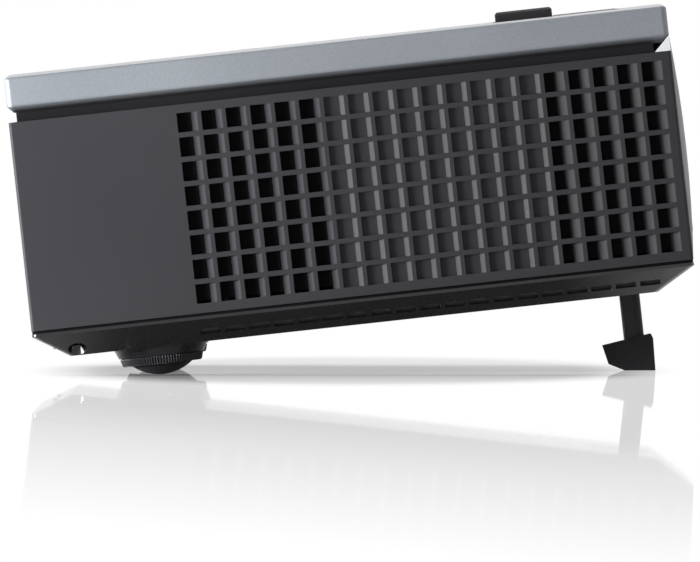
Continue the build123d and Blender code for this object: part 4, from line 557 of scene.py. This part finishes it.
def wheel_ring(mesh, x, radius, height, depth=0.0):
    """A ring of points round a wheel's axis, cut in by its knurling to a depth."""
    around = TEETH * TOOTH_STEPS
    ring = []
    for step in range(around):
        turn = 2 * math.pi * step / around
        reach = radius - depth * abs(2 * (step % TOOTH_STEPS) / TOOTH_STEPS - 1)
        point = (x + reach * math.cos(turn), WHEEL_Y + reach * math.sin(turn), height)
        ring.append(mesh.verts.new(point))
    return ring


def skin(mesh, first, second):
    """The strip of faces between two rings."""
    for step, corner in enumerate(first):
        after = (step + 1) % len(first)
        mesh.faces.new((corner, first[after], second[after], second[step]))


def close_run(mesh, x, ring, run):
    """Carries a wheel's surface on from a ring through a run of more, and closes its end."""
    for radius, height in run:
        after = wheel_ring(mesh, x, radius, height)
        skin(mesh, ring, after)
        ring = after
    mesh.faces.new(ring)


def add_wheels():
    """The rear feet's knurled wheels, tapering down, each with its ringed stud."""
    for side, x in WHEELS:
        mesh = bmesh.new()
        rings = [wheel_ring(mesh, x, radius, height, depth) for height, radius, depth in WHEEL_RUN]
        for upper, lower in zip(rings, rings[1:]):
            skin(mesh, upper, lower)
        close_run(mesh, x, rings[0], STUD_RUN)
        close_run(mesh, x, rings[-1], BORE_RUN)
        made = new_piece(side + "_knurled_wheel", mesh, "foot_black", side + "_wheel")
        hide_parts(side + "_foot_wheel")


KEYPAD = (62.0, 10.0)  # X and Y of its middle
KEY_TOP = 95.7
MARK_T = 0.06
MARK_SINK = 0.01  # how far a mark starts under the key's top
ARROW_R = 15.3  # from the keypad's middle to each arrow
ARROW = ((2.4, 0), (2.1, 118), (2.1, 242))  # its corners: distance and turn
ARROW_TURNS = (("right", 0), ("up", 90), ("left", 180), ("down", 270))
# key: its middle from the keypad's, a ring's radii and its start and end if it has one, and the
# outlines of the mark's other parts
KEY_MARKS = {
    "power": ((-31.0, 19.0), ((1.75, 2.35), (125, 415)), (oblong((-0.3, 0.6), (0.3, 3.0)),)),
    "menu": ((-31.0, -19.0), None, (
        oblong((-2.3, -1.85), (2.3, -1.15)),
        oblong((-2.3, -0.35), (2.3, 0.35)),
        oblong((-2.3, 1.15), (2.3, 1.85)),
    )),
    "play": ((31.0, -19.0), None, (
        [(-2.2, -1.7), (0.6, 0.0), (-2.2, 1.7)],
        oblong((1.0, -1.6), (1.5, 1.6)),
        oblong((2.0, -1.6), (2.5, 1.6)),
    )),
    "source": ((31.0, 19.0), None, (
        oblong((-2.4, -1.8), (2.4, -1.3)),
        oblong((-2.4, 1.3), (2.4, 1.8)),
        oblong((1.9, -1.3), (2.4, 1.3)),
        [(-0.6, -1.0), (1.1, 0.0), (-0.6, 1.0)],
        oblong((-2.6, -0.25), (-0.6, 0.25)),
    )),
    "enter": ((0.0, 0.0), ((2.2, 2.8), (0, 360)), ()),
}


def add_key_marks():
    """Raised marks on the keys: arrows, a power ring, bars, play and pause, a source box and a ring."""
    raised = (0, 0, MARK_T)

    def on_key(points):
        return flat(points, KEY_TOP - MARK_SINK)

    for name, turn in ARROW_TURNS:
        mesh = bmesh.new()
        spot = polar(KEYPAD, ARROW_R, turn)
        prism(mesh, on_key([polar(spot, reach, turn + step) for reach, step in ARROW]), raised)
        new_piece(name + "_key_mark", mesh, "mark_dark", name + "_key")
    for name, (offset, ring, outlines) in KEY_MARKS.items():
        mesh = bmesh.new()
        middle = (KEYPAD[0] + offset[0], KEYPAD[1] + offset[1])
        if ring:
            radii, turn = ring
            band(mesh, middle, radii, on_key, raised, turn)
        for outline in outlines:
            prism(mesh, on_key(moved(outline, middle)), raised)
        new_piece(name + "_key_mark", mesh, "mark_dark", name + "_key")


REAR_Y = 111.0
RING_OUT = 0.5  # how far the coloured rings stand behind the rear panel
RING_T = 0.35
PORT_Z = 39.6
# name, X, inner and outer radius, finish
JACKS = (
    ("video_jack_ring", -26.0, (2.3, 3.9), "jack_yellow"),
    ("audio_white_ring", -14.0, (2.3, 3.9), "jack_white"),
    ("audio_red_ring", -2.0, (2.3, 3.9), "jack_red"),
    ("mini_jack_ring", 9.0, (1.65, 2.8), "jack_green"),
)
DISC_IN = 0.01  # inner radius of a ring that stands for a full disc
KEYED_JACK = -40.0
CORE_R = 2.98
CORE_Y = 107.0
CORE_L = 2.4
KEYED_PINS = ((-1.5, 0.9), (1.5, 0.9), (-1.0, -0.9), (1.0, -0.9))
PIN_R = 0.32
PIN_Y = 109.4
PIN_L = 1.4
PIN_SIDES = 10
WIDE_PORT = -82.0
INSERT_HALF = (12.6, 4.1)
INSERT_LEAN = 1.1
INSERT_Y = 105.2
INSERT_L = 4.6
INSERT_SOFT = 0.4
CONTACT_ROWS = (1, 0, -1)
CONTACTS = 5
CONTACT_PITCH = 4.3
CONTACT_SHIFT = 0.22  # how far a row is moved along, in pitches
CONTACT_RISE = 2.3
CONTACT_R = (0.3, 0.75)
CONTACT_Y = 109.78
CONTACT_T = 0.1
CONTACT_SIDES = 12


def add_jack_rings():
    """A coloured ring round each round socket."""
    for name, x, radii, finish in JACKS:
        mesh = bmesh.new()
        band(mesh, (x, PORT_Z), radii, facing_rear(REAR_Y + RING_OUT), (0, RING_T, 0))
        new_piece(name, mesh, finish, "case")


def add_keyed_jack():
    """The keyed video socket's core with its pins."""
    mesh = bmesh.new()
    band(mesh, (KEYED_JACK, PORT_Z), (DISC_IN, CORE_R), facing_rear(CORE_Y), (0, CORE_L, 0))
    new_piece("keyed_jack_core", mesh, "mark_dark", "case")
    mesh = bmesh.new()
    for middle in moved(KEYED_PINS, (KEYED_JACK, PORT_Z)):
        band(mesh, middle, (DISC_IN, PIN_R), facing_rear(PIN_Y), (0, PIN_L, 0), steps=PIN_SIDES)
    new_piece("keyed_jack_pins", mesh, "contact_gold", "case")


def add_wide_port():
    """The wide video socket's insert with three rows of contacts."""
    mesh = bmesh.new()
    half_w, half_h = INSERT_HALF
    low_w = half_w - INSERT_LEAN
    outline = [(-half_w, half_h), (half_w, half_h), (low_w, -half_h), (-low_w, -half_h)]
    prism(mesh, upright(moved(outline, (WIDE_PORT, PORT_Z)), INSERT_Y), (0, INSERT_L, 0))
    insert = new_piece("wide_port_insert", mesh, "port_blue", "case")
    soften(insert, INSERT_SOFT, weld=False)
    mesh = bmesh.new()
    for row in CONTACT_ROWS:
        for pin in range(CONTACTS):
            x = WIDE_PORT + (pin - (CONTACTS - 1) / 2 + CONTACT_SHIFT * row) * CONTACT_PITCH
            middle = (x, PORT_Z + CONTACT_RISE * row)
            band(mesh, middle, CONTACT_R, facing_rear(CONTACT_Y), (0, CONTACT_T, 0), steps=CONTACT_SIDES)
    new_piece("wide_port_contacts", mesh, "contact_gold", "case")


EJECT_FACE = 143.69
EJECT_MARK = (54.5, 66.3)  # Y and Z of its middle
EJECT_PARTS = ([(-1.5, -0.3), (1.5, -0.3), (0.0, 1.4)], oblong((-1.5, -1.1), (1.5, -0.7)))


def add_eject_mark():
    """The usual triangle over a bar beside the drive's button."""
    mesh = bmesh.new()
    for outline in EJECT_PARTS:
        points = [(EJECT_FACE, y, z) for y, z in moved(outline, EJECT_MARK)]
        prism(mesh, points, (MARK_T, 0, 0))
    new_piece("eject_mark", mesh, "mark_pale", "tray")


# ---------------------------------------------------------------- making
bpy.context.scene.view_settings.view_transform = "Standard"
add_camera()
add_world()
add_lamps()
add_floor()
dress_nodes()
add_screens()
add_seam()
add_wheels()
add_key_marks()
add_jack_rings()
add_keyed_jack()
add_wide_port()
add_eject_mark()
